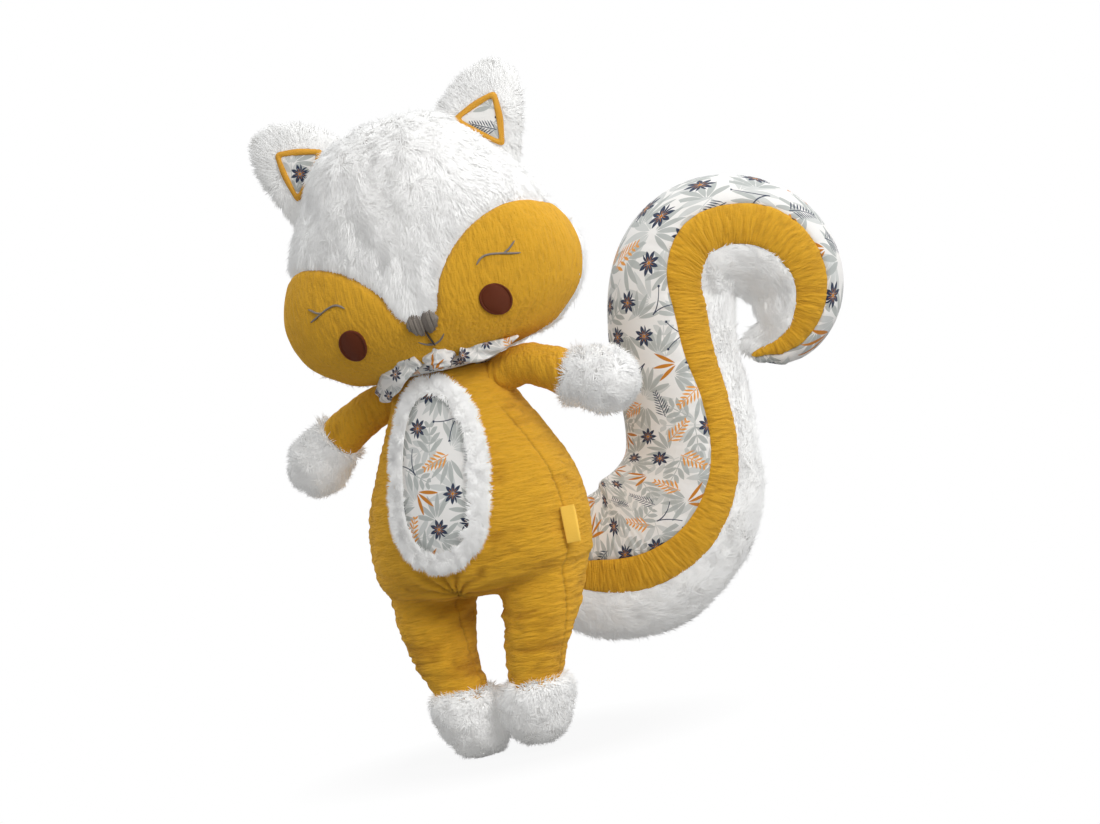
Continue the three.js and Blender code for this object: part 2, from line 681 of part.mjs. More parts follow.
function tailStations() {
  const rows = Array.from({ length: tailSteps + 1 }, (_, i) => {
    const [out, up, wide, deep, back, printEdge, furEdge] = smoothRow(tailShares, i / tailSteps);
    const at = tailRoot.clone().addScaledVector(tailSide, out * tailReach)
      .addScaledVector(tailBack, back * tailSetBack).addScaledVector(zAxis, up * tailHeight);
    const rootWide = i === 0 ? tailRootRadius : wide * tailHalfWidth;
    const rootDeep = i === 0 ? tailRootRadius : deep * tailHalfDepth;
    return { at, wide: rootWide, deep: rootDeep, printEdge, furEdge, reach: rootWide };
  });
  return rows.map((row, i) => {
    const step = rows[Math.min(i + 1, tailSteps)].at.clone().sub(rows[Math.max(i - 1, 0)].at);
    const along = step.addScaledVector(tailBack, -step.dot(tailBack)).normalize();
    const across = new THREE.Vector3().crossVectors(along, tailBack).normalize();
    return { ...row, along, through: tailBack, across: across.negate() };
  });
}

// The cover's four panels, each between two angles of the section: the fur on the inner side, the
// printed cloth on the outer side, and a gauze strip between them in front and behind.
const edgeAngle = (share) => Math.acos(2 * share - 1);
const backEdge = { fur: (s) => edgeAngle(s.furEdge), print: (s) => edgeAngle(s.printEdge) };
const frontEdge = {
  fur: (s) => 2 * Math.PI - edgeAngle(s.furEdge), print: (s) => 2 * Math.PI - edgeAngle(s.printEdge) };
const tailPanels = {
  tail_fur_panel: { from: (s) => -edgeAngle(s.furEdge), to: backEdge.fur, steps: 4, material: whiteFur },
  tail_strip_back: { from: backEdge.fur, to: backEdge.print, steps: 2, material: mustard, strip: true },
  tail_print_panel: { from: backEdge.print, to: frontEdge.print, steps: 5, material: printed },
  tail_strip_front: { from: frontEdge.print, to: frontEdge.fur, steps: 2, material: mustard, strip: true },
};
const between = (from, to, steps) => Array.from(
  { length: steps + 1 }, (_, j) => from + ((to - from) * j) / steps);

// The filling has its corners at the panels' own, so that their flat facets lie parallel.
function tail(swell) {
  const corners = (station) => Object.values(tailPanels)
    .flatMap(({ from, to, steps }) => between(from(station), to(station), steps).slice(0, -1));
  const stations = tailStations().map((station) => ({ ...station, angles: corners(station) }));
  return member(stations, swell, stations[0].angles.length);
}

// A wedge from the tail's middle line out past the cover, from its root to its tip, with its two
// sides moved out by a growth.
function tailWedge({ from, to, steps }, growth) {
  const stations = tailStations().slice(tailPanelStart);
  stations[0].at.addScaledVector(stations[0].along, -growth);
  const tip = stations[stations.length - 1];
  tip.at.addScaledVector(tip.along, coverThickness + growth);
  return solid(loft(stations.map((station) => {
    const speed = (angle) => Math.hypot(station.wide * Math.sin(angle), station.deep * Math.cos(angle));
    const start = from(station) - growth / speed(from(station));
    const end = to(station) + growth / speed(to(station));
    const angles = [start, ...between(from(station), to(station), steps).slice(1, -1), end];
    return [station.at.clone(), ...ring({ ...station, angles }, coverThickness, angles.length, 2)];
  })));
}

// The fur and the printed panel are cut first, and each gauze strip fills what they leave.
const tailShell = solid(tail(0)).subtract(solid(tail(-coverThickness)));
const besideStrips = [tailPanels.tail_fur_panel, tailPanels.tail_print_panel];
function tailPanel(panel) {
  const piece = tailShell.intersect(tailWedge(panel, 0));
  const cutters = panel.strip ? besideStrips.map((beside) => tailWedge(beside, fitGap)) : [];
  return without(piece, ...cutters);
}

// Room in the torso for each limb through its range, the neck and the tail's root. A limb's room
// is the ball of its round root and its shank at a few turns, which starts inside that ball.
const rootShrinkShare = 0.98;
function shank(rows, sides) {
  const [first, ...rest] = rows;
  const start = { ...first, wide: rootShrinkShare * first.wide, deep: rootShrinkShare * first.deep };
  return loft([start, ...rest].map((station) => ring(station, jointGap, sides, 2)));
}
function legRoom(side) {
  const rows = calfShares.slice(1).map((row) => legLevel(side, row, thighHalfWidth, thighHalfWidth));
  const from = -legAngles.back;
  const swing = sweptRoom(shank(rows.reverse(), legSides), hip(side), xAxis, from, -legAngles.forward, 4);
  return swing.add(solid(socket(thighHalfWidth, hip(side), plainBall)));
}
function armRoom(hand) {
  const rows = armStations(hand).slice(0, 4);
  const [low, high] = [-armAngles.lower, -armAngles.raise].map((degrees) => sideOf[hand] * degrees);
  const swing = sweptRoom(shank(rows, armSides), shoulder(hand), yAxis, low, high, 2);
  return swing.add(solid(socket(rows[0].wide, shoulder(hand), plainBall)));
}
const torsoRoom = [
  legRoom(1), legRoom(-1), armRoom('left'), armRoom('right'),
  solid(socket(neckRadius, neckPivot, fineBall)), solid(socket(tailRootRadius, tailRoot, plainBall)),
];
const torsoFilling = without(solid(torso(-liningGap)), ...torsoRoom);
const torsoShell = without(solid(torso(0)).subtract(solid(torso(-coverThickness))), ...torsoRoom);
const seamPlane = (offset) => new THREE.Vector3(0, -sideSeamForward + offset, 0);
const torsoFront = torsoShell.intersect(beyond(seamPlane(-fitGap / 2), new THREE.Vector3(0, -1, 0)));
const torsoBack = torsoShell.intersect(beyond(seamPlane(fitGap / 2), new THREE.Vector3(0, 1, 0)));

// Tummy patch: a fur oval, narrower at the top, around a printed oval
const tummyTaperShare = 0.1;
const tummyPoints = 24;
function tummyOval(inset) {
  const middle = (crotchZ + tummyBottomMargin + torsoTopZ - tummyTopMargin) / 2;
  const halfHeight = (torsoHeight - tummyTopMargin - tummyBottomMargin) / 2 - inset;
  return new THREE.Shape(Array.from({ length: tummyPoints }, (_, i) => {
    const angle = (2 * Math.PI * i) / tummyPoints;
    const half = (tummyHalfWidth - inset) * (1 - tummyTaperShare * Math.sin(angle));
    return new THREE.Vector2(half * Math.cos(angle), middle + halfHeight * Math.sin(angle));
  }));
}
const scarfEndRoom = ['left', 'right'].map((hand) => solid(scarfEnd(hand, fitGap)));
const tummyFur = without(
  patch(torso, frontPrism(tummyOval(0)), tummyFurThickness),
  frontPrism(tummyOval(tummyFurWidth)), ...scarfEndRoom,
);
const tummyPrint = patch(torso, frontPrism(tummyOval(tummyFurWidth + fitGap)), tummyPrintThickness);

// Side label: a bare folded tab standing out of the left side seam
const labelUpShare = 0.25;
const labelLeanAngle = 12;
function labelPlace() {
  const above = torsoShares.findIndex(([up]) => up > labelUpShare);
  const [low, high] = [torsoShares[above - 1], torsoShares[above]];
  const part = (labelUpShare - low[0]) / (high[0] - low[0]);
  const [, wide, deep] = low.map((share, i) => share + part * (high[i] - share));
  const across = 1 - (sideSeamForward / (deep * torsoHalfDepth)) ** torsoSquareness;
  const x = wide * torsoHalfWidth * across ** (1 / torsoSquareness) + fitGap + labelThickness / 2;
  return new THREE.Vector3(x, -sideSeamForward, crotchZ + labelUpShare * torsoHeight);
}
const labelRoot = labelPlace();
function sideLabel() {
  const half = labelThickness / 2;
  const root = new THREE.CylinderGeometry(half, half, labelHeight, 12).rotateX(Math.PI / 2);
  const tab = new THREE.BoxGeometry(labelWidth, labelThickness, labelHeight).translate(labelWidth / 2, 0, 0);
  return solid(tab).add(solid(root));
}

// The scene graph
const toy = new THREE.Group();
const part = (group, name, piece, material) => {
  const mesh = new THREE.Mesh(piece.isBufferGeometry ? piece : surface(piece), material());
  mesh.name = name;
  group.add(mesh);
  return mesh;
};

part(toy, 'torso_front_panel', torsoFront, mustard);
part(toy, 'torso_back_panel', torsoBack, mustard);
part(toy, 'torso_stuffing', torsoFilling, filling);
part(toy, 'tummy_fur_frame', tummyFur, whiteFur);
part(toy, 'tummy_print_panel', tummyPrint, printed);
const label = part(toy, 'side_label', sideLabel(), mustard);
label.position.copy(labelRoot);
label.rotation.z = radians(labelLeanAngle);

part(toy, 'neck_stuffing', ball(neckRadius, neckPivot, fineBall), filling);
const bandRoom = solid(scarfBand(fitGap));
part(toy, 'scarf_band', scarfBand(0), printed);
part(toy, 'scarf_knot', without(solid(scarfKnot(0)), bandRoom), printed);
part(toy, 'scarf_end_left', scarfEnd('left', 0), printed);
part(toy, 'scarf_end_right', scarfEnd('right', 0), printed);

const headGroup = new THREE.Group();
headGroup.applyMatrix4(headPlace);
toy.add(headGroup);
part(headGroup, 'head_hood', hood, whiteFur);
part(headGroup, 'head_back', headShell.intersect(seamBack), whiteFur);
part(headGroup, 'cheek_left', cheekPiece('left'), mustard);
part(headGroup, 'cheek_right', cheekPiece('right'), mustard);
part(headGroup, 'head_stuffing', headSolid, filling);
part(headGroup, 'nose', patch(head, frontPrism(noseShape()), noseThickness), greyThread);
part(headGroup, 'mouth_embroidery', without(inked(mouthShapes(), trimThickness), ...headRoom), greyThread);

for (const hand of ['left', 'right']) {
  const side = sideOf[hand];
  part(headGroup, `eye_${hand}`, inked(eyeShapes(side), trimThickness), greyThread);
  part(headGroup, `blush_${hand}`, patch(head, frontPrism(blushShape(side)), trimThickness), brownThread);
  const { pad, lining, stitching } = ear(side);
  part(headGroup, `ear_fur_${hand}`, pad, whiteFur);
  part(headGroup, `ear_lining_${hand}`, lining, printed);
  part(headGroup, `ear_stitching_${hand}`, stitching, mustardThread);

  const headOutside = solid(head(fitGap).applyMatrix4(headPlace));
  const wrist = armStations(hand)[armShares[hand].length - 1];
  const pastWrist = (offset) => beyond(wrist.at.clone().addScaledVector(wrist.along, offset), wrist.along);
  const armShell = without(solid(arm(hand, 0)).subtract(solid(arm(hand, -coverThickness))), headOutside);
  part(toy, `arm_sleeve_${hand}`, armShell.subtract(pastWrist(-fitGap / 2)), mustard);
  part(toy, `hand_mitt_${hand}`, armShell.intersect(pastWrist(fitGap / 2)), whiteFur);
  part(toy, `arm_stuffing_${hand}`, without(solid(arm(hand, -liningGap)), headOutside), filling);

  const ownSide = beyond(new THREE.Vector3((side * fitGap) / 2, 0, 0), new THREE.Vector3(side, 0, 0));
  const legShell = solid(leg(side, 0)).subtract(solid(leg(side, -coverThickness))).intersect(ownSide);
  const upward = (offset) => beyond(new THREE.Vector3(0, 0, ankleZ + offset), zAxis);
  part(toy, `leg_cover_${hand}`, legShell.intersect(upward(fitGap / 2)), mustard);
  part(toy, `foot_${hand}`, legShell.subtract(upward(-fitGap / 2)), whiteFur);
  part(toy, `leg_stuffing_${hand}`, solid(leg(side, -liningGap)).intersect(ownSide), filling);
}

part(toy, 'tail_stuffing', tail(-liningGap), filling);
for (const [name, panel] of Object.entries(tailPanels)) part(toy, name, tailPanel(panel), panel.material);

// The finished toy stands on its soles, centred in plan.
toy.updateMatrixWorld(true);
const reach = new THREE.Box3().setFromObject(toy, true);
toy.position.set(-(reach.min.x + reach.max.x) / 2, -(reach.min.y + reach.max.y) / 2, 0);

export default toy;
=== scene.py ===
# %% [markdown]
# A plush squirrel, sewn and stuffed. The lesson builds it the way a maker does: first the forms of
# the body, then the cloth that covers each one, then the pile, the print and the thread. Every form
# is a formula over a grid of two parameters, worked out with numpy as whole arrays. Lengths in this
# file are millimetres, and they become metres only where a mesh is made.

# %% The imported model, the frame that everything hangs on
import itertools
import math

import bmesh
import bpy
import numpy as np
from mathutils import Matrix, Vector


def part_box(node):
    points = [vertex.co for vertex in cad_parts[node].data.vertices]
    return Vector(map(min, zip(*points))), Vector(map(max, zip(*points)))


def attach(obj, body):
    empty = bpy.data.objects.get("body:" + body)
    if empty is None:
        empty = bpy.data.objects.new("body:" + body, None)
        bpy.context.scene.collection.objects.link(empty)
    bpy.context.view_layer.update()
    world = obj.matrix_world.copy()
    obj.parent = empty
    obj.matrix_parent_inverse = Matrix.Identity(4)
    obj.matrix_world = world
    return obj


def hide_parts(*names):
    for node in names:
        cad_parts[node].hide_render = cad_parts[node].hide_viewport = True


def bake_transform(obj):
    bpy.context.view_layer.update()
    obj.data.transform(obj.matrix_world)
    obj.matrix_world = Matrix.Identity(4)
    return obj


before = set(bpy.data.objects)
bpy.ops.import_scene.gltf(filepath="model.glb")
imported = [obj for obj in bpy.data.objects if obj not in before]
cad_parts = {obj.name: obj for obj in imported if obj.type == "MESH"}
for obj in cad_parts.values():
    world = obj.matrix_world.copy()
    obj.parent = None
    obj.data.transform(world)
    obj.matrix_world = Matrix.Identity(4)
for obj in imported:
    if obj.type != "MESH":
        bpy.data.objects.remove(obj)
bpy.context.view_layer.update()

MM = 0.001
neck_low, neck_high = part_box("neck_stuffing")
NECK = np.array((neck_low + neck_high) / 2) / MM
BODY_AXIS = np.array([NECK[0], NECK[1], 0])
print("body axis", BODY_AXIS, "neck", NECK)

# %% [markdown]
# The photograph looks at the toy from 26 degrees round its left side, level with its middle, and the
# toy leans 11.5 degrees to the left in the picture. Half a millimetre at the toy's middle is one
# pixel of the 1100 by 824 picture, so a long lens 1.3 m away has to see a width of 550 mm there.

# %% Camera
AZIMUTH = math.radians(26)
LEAN = math.radians(11.5)
DISTANCE = 1300
SEEN_WIDTH = 550
AIM_SIDE, AIM_HEIGHT = 47.0, 161.1
SENSOR = 36

sideways = np.array([math.cos(AZIMUTH), math.sin(AZIMUTH), 0])
backwards = np.array([math.sin(AZIMUTH), -math.cos(AZIMUTH), 0])
upwards = np.array([0.0, 0.0, 1.0])
aim = BODY_AXIS + AIM_SIDE * sideways + AIM_HEIGHT * upwards
camera_right = math.cos(LEAN) * sideways - math.sin(LEAN) * upwards
camera_up = math.sin(LEAN) * sideways + math.cos(LEAN) * upwards
camera = bpy.data.objects.new("camera", bpy.data.cameras.new("camera"))
bpy.context.scene.collection.objects.link(camera)
axes = np.column_stack([camera_right, camera_up, backwards])
camera.matrix_world = Matrix.Translation(Vector((aim + DISTANCE * backwards) * MM)) @ Matrix(axes).to_4x4()
camera.data.sensor_width = SENSOR
camera.data.lens = SENSOR * DISTANCE / SEEN_WIDTH
bpy.context.scene.camera = camera

# %% [markdown]
# A form needs three helpers: a smooth curve through a short table of measures, a smooth noise for
# everything that cloth and pile do by chance, and a way to turn arrays into a mesh.

# %% Smooth tables, noise and surfaces


def smooth_rows(table, t):
    """Rows between a table's rows by a Catmull-Rom curve; t is 0 at the first row and 1 at the last."""
    table = np.asarray(table, float)
    last = len(table) - 1
    x = np.clip(np.asarray(t, float), 0, 1) * last
    i = np.minimum(x.astype(int), last - 1)
    f = (x - i)[..., None]
    a, b, c, d = (table[np.clip(i + k, 0, last)] for k in (-1, 0, 1, 2))
    return b + f / 2 * (c - a + f * (2 * a - 5 * b + 4 * c - d + f * (3 * (b - c) + d - a)))


def noise(points, seed=0):
    """Smooth noise from -1 to 1: a random number on each corner of a unit lattice, blended over the
    cell by 3t^2 - 2t^3."""
    cell = np.floor(points).astype(np.int64)
    t = points - cell
    t = t * t * (3 - 2 * t)
    total = np.zeros(points.shape[:-1])
    for corner in itertools.product((0, 1), repeat=3):
        place = cell + corner
        mixed = place[..., 0] * 73856093 ^ place[..., 1] * 19349663 ^ place[..., 2] * 83492791
        mixed = (mixed ^ seed * 40503) & 0x7FFFFFFF
        mixed = (mixed ^ mixed >> 13) * 1274126177 & 0x7FFFFFFF
        value = ((mixed ^ mixed >> 15) & 0xFFFF) / 32767.5 - 1
        weight = np.prod(np.where(corner, t, 1 - t), axis=-1)
        total += weight * value
    return total


def unit(vectors):
    """Each vector divided by its own length."""
    return vectors / np.maximum(np.linalg.norm(vectors, axis=-1, keepdims=True), 1e-9)


def smoothstep(low, high, x):
    """0 below low, 1 above high, and 3t^2 - 2t^3 between them."""
    t = np.clip((x - low) / (high - low), 0, 1)
    return t * t * (3 - 2 * t)


def spread(*parts):
    """Numbers and arrays of fitting shapes, as the coordinates of points."""
    return np.stack(np.broadcast_arrays(*parts), axis=-1).astype(float)


def circle(count):
    """Evenly spaced angles once round."""
    return np.linspace(0, 2 * np.pi, count, endpoint=False)


def reached(path):
    """How far along a path each of its points lies."""
    return np.concatenate([[0], np.cumsum(np.linalg.norm(np.diff(path, axis=0), axis=1))])


class Surface:
    """Points, and the corners of each face."""

    def __init__(self, points, quads):
        self.points = points
        self.quads = quads

    def face_out(self, centre=None):
        """Turns all faces over if more of them face the middle than face away from it."""
        middle = self.points.mean(axis=0) if centre is None else np.asarray(centre, float)
        if np.sum(self.facings() * (self.middles() - middle)) < 0:
            self.turn_over()

    def face_along(self, ways):
        """Turns all faces over if the points' normals look against the ways given for the points."""
        if np.sum(self.normals() * ways) < 0:
            self.turn_over()

    def turn_over(self):
        """Makes each face look the other way."""
        self.quads = self.quads[:, ::-1].copy()

    def middles(self):
        """The middle of each face."""
        return self.points[self.quads].mean(axis=1)

    def facings(self):
        """Which way each face looks, as a vector that is twice as long as its area."""
        corners = self.points[self.quads]
        return np.cross(corners[:, 2] - corners[:, 0], corners[:, 3] - corners[:, 1])

    def normals(self):
        """The mean of the faces around each point, weighted by their areas."""
        facings = self.facings()
        total = np.zeros_like(self.points)
        for k in range(4):
            np.add.at(total, self.quads[:, k], facings)
        return unit(total)

    def joined(self, other):
        """This surface and another as one."""
        return Surface(np.concatenate([self.points, other.points]),
                       np.concatenate([self.quads, other.quads + len(self.points)]))


def from_grid(grid, around=False, centre=None):
    """A surface from rows and columns of points; around joins each row's last point to its first."""
    rows, columns = grid.shape[:2]
    index = np.arange(rows * columns).reshape(rows, columns)
    if around:
        index = np.concatenate([index, index[:, :1]], axis=1)
    corners = [index[:-1, :-1], index[:-1, 1:], index[1:, 1:], index[1:, :-1]]
    surface = Surface(grid.reshape(-1, 3).astype(float), np.stack(corners, axis=-1).reshape(-1, 4))
    surface.face_out(centre)
    return surface


def new_piece(name, surface, material, uv=None, weld=True, normals=None, **marks):
    """A mesh object in metres from a surface; welded points close its poles and seams. Marks are
    numbers at each point, such as how much painted shade a fold takes, for the materials."""
    mesh = bpy.data.meshes.new(name)
    mesh.vertices.add(len(surface.points))
    mesh.vertices.foreach_set("co", (surface.points * MM).ravel())
    sides = surface.quads.shape[1]
    mesh.loops.add(surface.quads.size)
    mesh.loops.foreach_set("vertex_index", surface.quads.ravel().astype(np.int32))
    mesh.polygons.add(len(surface.quads))
    mesh.polygons.foreach_set("loop_start", np.arange(len(surface.quads), dtype=np.int32) * sides)
    mesh.update(calc_edges=True)
    if uv is not None:
        layer = mesh.uv_layers.new(name="cloth")
        layer.data.foreach_set("uv", (uv.reshape(-1, 2)[surface.quads.ravel()] * MM).ravel())
    for mark, values in marks.items():
        layer = mesh.attributes.new(mark, "FLOAT", "POINT")
        layer.data.foreach_set("value", np.asarray(values, np.float32).ravel())
    if weld:
        shape = bmesh.new()
        shape.from_mesh(mesh)
        bmesh.ops.remove_doubles(shape, verts=shape.verts, dist=0.004 * MM)
        shape.to_mesh(mesh)
        shape.free()
    mesh.shade_smooth()
    if normals is not None:
        mesh.normals_split_custom_set_from_vertices(normals)
    piece = bpy.data.objects.new(name, mesh)
    bpy.context.scene.collection.objects.link(piece)
    mesh.materials.append(material)
    return piece


def finished(piece, body, nodes, slot):
    """Says what a piece rides on and which solids it stands for; its slot is not used."""
    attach(piece, body)
    if nodes:
        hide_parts(*nodes)
    print(piece.name, len(piece.data.polygons), "faces")


# %% [markdown]
# Materials are written as sums. Each line of a pattern, such as "the leaf is as wide as its length
# allows", is one Math node, so a small class turns plain arithmetic into nodes. The print is then
# readable as the drawing that it is.

# %% Shader arithmetic


class Field:
    """A number that varies over a surface. Arithmetic on it adds Math nodes to the material."""

    def __init__(self, tree, socket):
        self.tree = tree
        self.socket = socket

    def math(self, operation, *others):
        """One Math node that takes this field and the others."""
        node = self.tree.nodes.new("ShaderNodeMath")
        node.operation = operation
        for i, item in enumerate((self, *others)):
            if isinstance(item, Field):
                self.tree.links.new(item.socket, node.inputs[i])
            else:
                node.inputs[i].default_value = item
        return Field(self.tree, node.outputs[0])

    def __add__(self, other):
        return self.math("ADD", other)

    def __sub__(self, other):
        return self.math("SUBTRACT", other)

    def __mul__(self, other):
        return self.math("MULTIPLY", other)

    def __truediv__(self, other):
        return self.math("DIVIDE", other)

    def __abs__(self):
        return self.math("ABSOLUTE")

    __radd__ = __add__
    __rmul__ = __mul__

    def above(self, level, soft):
        """0 below the level, rising to 1 over a soft edge."""
        return ((self - level) / soft).math("MAXIMUM", 0.0).math("MINIMUM", 1.0)

    def limited(self, low, high):
        """The field held between two numbers."""
        return self.math("MAXIMUM", float(low)).math("MINIMUM", float(high))


class Cloth:
    """A new material with one Principled shader, and the nodes that its finish is made from."""

    def __init__(self, name, colour, roughness, sheen=0.0):
        self.material = bpy.data.materials.new(name)
        self.material.use_nodes = True
        self.tree = self.material.node_tree
        self.shader = self.tree.nodes["Principled BSDF"]
        self.shader.inputs["Base Color"].default_value = (*colour, 1)
        self.shader.inputs["Roughness"].default_value = roughness
        self.shader.inputs["Sheen Weight"].default_value = sheen
        self.shader.inputs["Specular IOR Level"].default_value = 0.25

    def places(self, kind):
        """The Object or UV coordinates, in millimetres, as three fields."""
        split = self.tree.nodes.new("ShaderNodeSeparateXYZ")
        self.tree.links.new(self.tree.nodes.new("ShaderNodeTexCoord").outputs[kind], split.inputs[0])
        return [Field(self.tree, split.outputs[i]) * (1 / MM) for i in range(3)]

    def vector(self, *fields):
        """Up to three fields as one vector."""
        join = self.tree.nodes.new("ShaderNodeCombineXYZ")
        for i, field in enumerate(fields):
            if isinstance(field, Field):
                self.tree.links.new(field.socket, join.inputs[i])
            else:
                join.inputs[i].default_value = field
        return join.outputs[0]

    def noise(self, place, detail=2.0):
        """Blender's noise, from 0 to 1, at a place given as fields."""
        node = self.tree.nodes.new("ShaderNodeTexNoise")
        node.inputs["Scale"].default_value = 1
        node.inputs["Detail"].default_value = detail
        self.tree.links.new(self.vector(*place), node.inputs["Vector"])
        return Field(self.tree, node.outputs["Fac"])

    def grain(self, scale, detail=2.0):
        """Noise over the object: the larger the scale, the finer."""
        return self.noise([p * scale for p in self.places("Object")], detail)

    def attribute(self, name):
        """A number that the mesh carries at each point."""
        node = self.tree.nodes.new("ShaderNodeAttribute")
        node.attribute_name = name
        return Field(self.tree, node.outputs["Fac"])

    def colour(self, value):
        """A constant colour as a socket."""
        node = self.tree.nodes.new("ShaderNodeRGB")
        node.outputs[0].default_value = (*value, 1)
        return node.outputs[0]

    def mix(self, share, below, above):
        """The colour below, covered by the colour above where the share is 1."""
        node = self.tree.nodes.new("ShaderNodeMix")
        node.data_type = "RGBA"
        self.tree.links.new(share.socket, node.inputs[0])
        self.tree.links.new(below, node.inputs[6])
        self.tree.links.new(above, node.inputs[7])
        return node.outputs[2]

    def paint(self, socket):
        """Uses a colour as the cloth's own."""
        self.tree.links.new(socket, self.shader.inputs["Base Color"])

    def emboss(self, height, distance, strength=1.0):
        """Raises the cloth by a height field, times a distance in millimetres."""
        node = self.tree.nodes.new("ShaderNodeBump")
        node.inputs["Strength"].default_value = strength
        node.inputs["Distance"].default_value = distance * MM
        self.tree.links.new(height.socket, node.inputs["Height"])
        self.tree.links.new(node.outputs[0], self.shader.inputs["Normal"])


# %% [markdown]
# Double gauze is two open layers of cotton that shrink unevenly, so it lies in fine crinkles. The
# large ones are in the mesh. What a thumb's width of it shows besides is here: a thread every half
# millimetre, threads that took the dye unevenly, and painted shade that deepens the colour in the valleys.

# %% Mustard gauze
MUSTARD = (0.96, 0.5, 0.03)
MUSTARD_DYE_AND_SHADE = (0.5, 0.2, 0.008)


def gauze_cloth(name, grain=(0.15, 0.15, 0.75), where="Object"):
    """Gauze whose fine crinkles are close along one axis and long along the others; painted shade
    darkens it in the mesh's own folds and in the crinkles' valleys."""
    cloth = Cloth(name, MUSTARD, 0.92, sheen=0.2)
    cloth.shader.inputs["Sheen Tint"].default_value = (1, 0.7, 0.28, 1)
    x, y, z = cloth.places("Object")
    threads = (z * 12.0).math("SINE") * ((x + y) * 9.0).math("SINE")
    slubs = cloth.noise([x * 0.5, y * 0.5, z * 3.0], 3.0)
    crinkle = cloth.noise([p * g for p, g in zip(cloth.places(where), grain)], 2.0)
    crease = cloth.attribute("crease")
    # The darker mustard is the slubs' uneven dye, and painted shade in the mesh's folds and in the crinkles'
    # valleys.
    deep = (slubs * 0.45 + crease * 0.75 + crinkle * -0.7 + 0.05).limited(0, 1)
    cloth.paint(cloth.mix(deep, cloth.colour(MUSTARD), cloth.colour(MUSTARD_DYE_AND_SHADE)))
    cloth.emboss(slubs * 0.5 + crinkle * 1.6 + threads * 0.12, 1.3, 1.0)
    return cloth.material


gauze = gauze_cloth("mustard gauze")
upright_gauze = gauze_cloth("mustard gauze upright", (0.7, 0.7, 0.15))
strip_gauze = gauze_cloth("mustard gauze strip", (0.12, 0.7, 1.0), "UV")

# %% [markdown]
# The pile is white, and its depth is what makes it look soft: each tuft is lit by the sky and shaded
# by its neighbours. Its own colour only drifts a little from clump to clump and from tuft to tuft, and
# painted shade greys each tuft towards its root. Light also passes from fibre to fibre inside the coat;
# a faint painted glow of the fibre stands for that.

# %% White pile and its backing
PILE_WHITE = (0.93, 0.925, 0.91)
PILE_GREY_AND_SHADE = (0.82, 0.812, 0.8)
# The glow is painted light: a faint emission of the pile and of its backing.
PILE_GLOW = 0.15


def glowing_cloth(name, roughness, sheen=0.0):
    """White cloth with a faint painted glow, which stands for light passing from fibre to fibre."""
    cloth = Cloth(name, PILE_WHITE, roughness, sheen)
    cloth.shader.inputs["Emission Color"].default_value = (*PILE_WHITE, 1)
    cloth.shader.inputs["Emission Strength"].default_value = PILE_GLOW
    return cloth


def pile_cloth():
    """White fibre with a little sheen, greyer in random patches and from tuft to tuft, and greyer towards
    each tuft's root as painted shade.
    """
    cloth = glowing_cloth("white pile", 0.85, sheen=0.3)
    share = ((cloth.grain(0.12, 3.0) - 0.45) * 1.2 + cloth.attribute("root") * 0.35).limited(0, 1)
    cloth.paint(cloth.mix(share, cloth.colour(PILE_WHITE), cloth.colour(PILE_GREY_AND_SHADE)))
    return cloth.material


def backing_cloth():
    """The knitted backing that shows only between the tufts, with the pile's painted glow."""
    cloth = glowing_cloth("pile backing", 0.95)
    cloth.emboss(cloth.grain(1.2), 0.6, 0.8)
    return cloth.material


pile_white = pile_cloth()
backing = backing_cloth()

# %% [markdown]
# The print is a generic meadow on white cotton: leaf sprays in pale sage, navy daisies with ochre
# hearts, orange sprigs, pairs of ochre leaves and thin navy twigs. The cloth is divided in square
# cells, each cell is shifted and turned by its own random numbers, and one motif is drawn in it. A
# motif is a distance rule: inside a leaf, the distance to its vein is less than its half width.

# %% Printed cotton
# How softly a motif fades at its sides and at its ends, in millimetres.
EDGE, END = 0.16, 0.2
COTTON = (0.83, 0.81, 0.78)
SAGE = (0.42, 0.44, 0.42)
MIST = (0.58, 0.59, 0.57)
NAVY = (0.03, 0.042, 0.08)
ORANGE = (0.78, 0.33, 0.06)
OCHRE = (0.55, 0.2, 0.02)


def leaf(u, v, length, width):
    """A lens along u: its half width is width times 2t(1 - t), with t the share of its length."""
    t = (u * (1 / length)).limited(0, 1)
    half = t * (t * -1.0 + 1.0) * (2.0 * width)
    return (half - abs(v)).above(0.0, EDGE)


def fan(x, y, count, sweep, start, length, width):
    """Leaves around a point: the angle is folded onto one leaf, so a single rule draws them all."""
    step = math.radians(sweep) / count
    radius = (x * x + y * y).math("SQRT")
    angle = y.math("ARCTAN2", x)
    turn = (angle * (1 / step)).math("ROUND").limited(-(count - 1) / 2, (count - 1) / 2) * step
    bend = angle - turn
    return leaf(radius * bend.math("COSINE") - start, radius * bend.math("SINE"), length, width)


def disc(x, y, radius):
    """1 inside a circle about the middle."""
    return ((x * x + y * y).math("SQRT") * -1.0 + radius).above(0.0, END)


def sprig(x, y, length, reach, pitch, width):
    """A stem with leaf pairs: the distance along it is folded by the pitch, and a leaf's reach
    shrinks towards the tip."""
    along = x - abs(y) * 0.9
    folded = (along * (1 / pitch)).math("FRACT") * pitch - pitch / 2
    share = (along * (1 / length)).limited(0, 1)
    inside = along.above(0.0, END) * (along * -1.0 + length).above(0.0, END)
    size = (share * -0.7 + 1.0) * reach
    t = (abs(y) / size).limited(0, 1)
    leaves = (t * (t * -1.0 + 1.0) * (2.0 * width) - abs(folded)).above(0.0, EDGE) * inside
    stem = (abs(y) * -1.0 + 0.28).above(0.0, 0.14) * x.above(0.0, END) * (x * -1.0 + length).above(0.0, END)
    return leaves.math("MAXIMUM", stem)


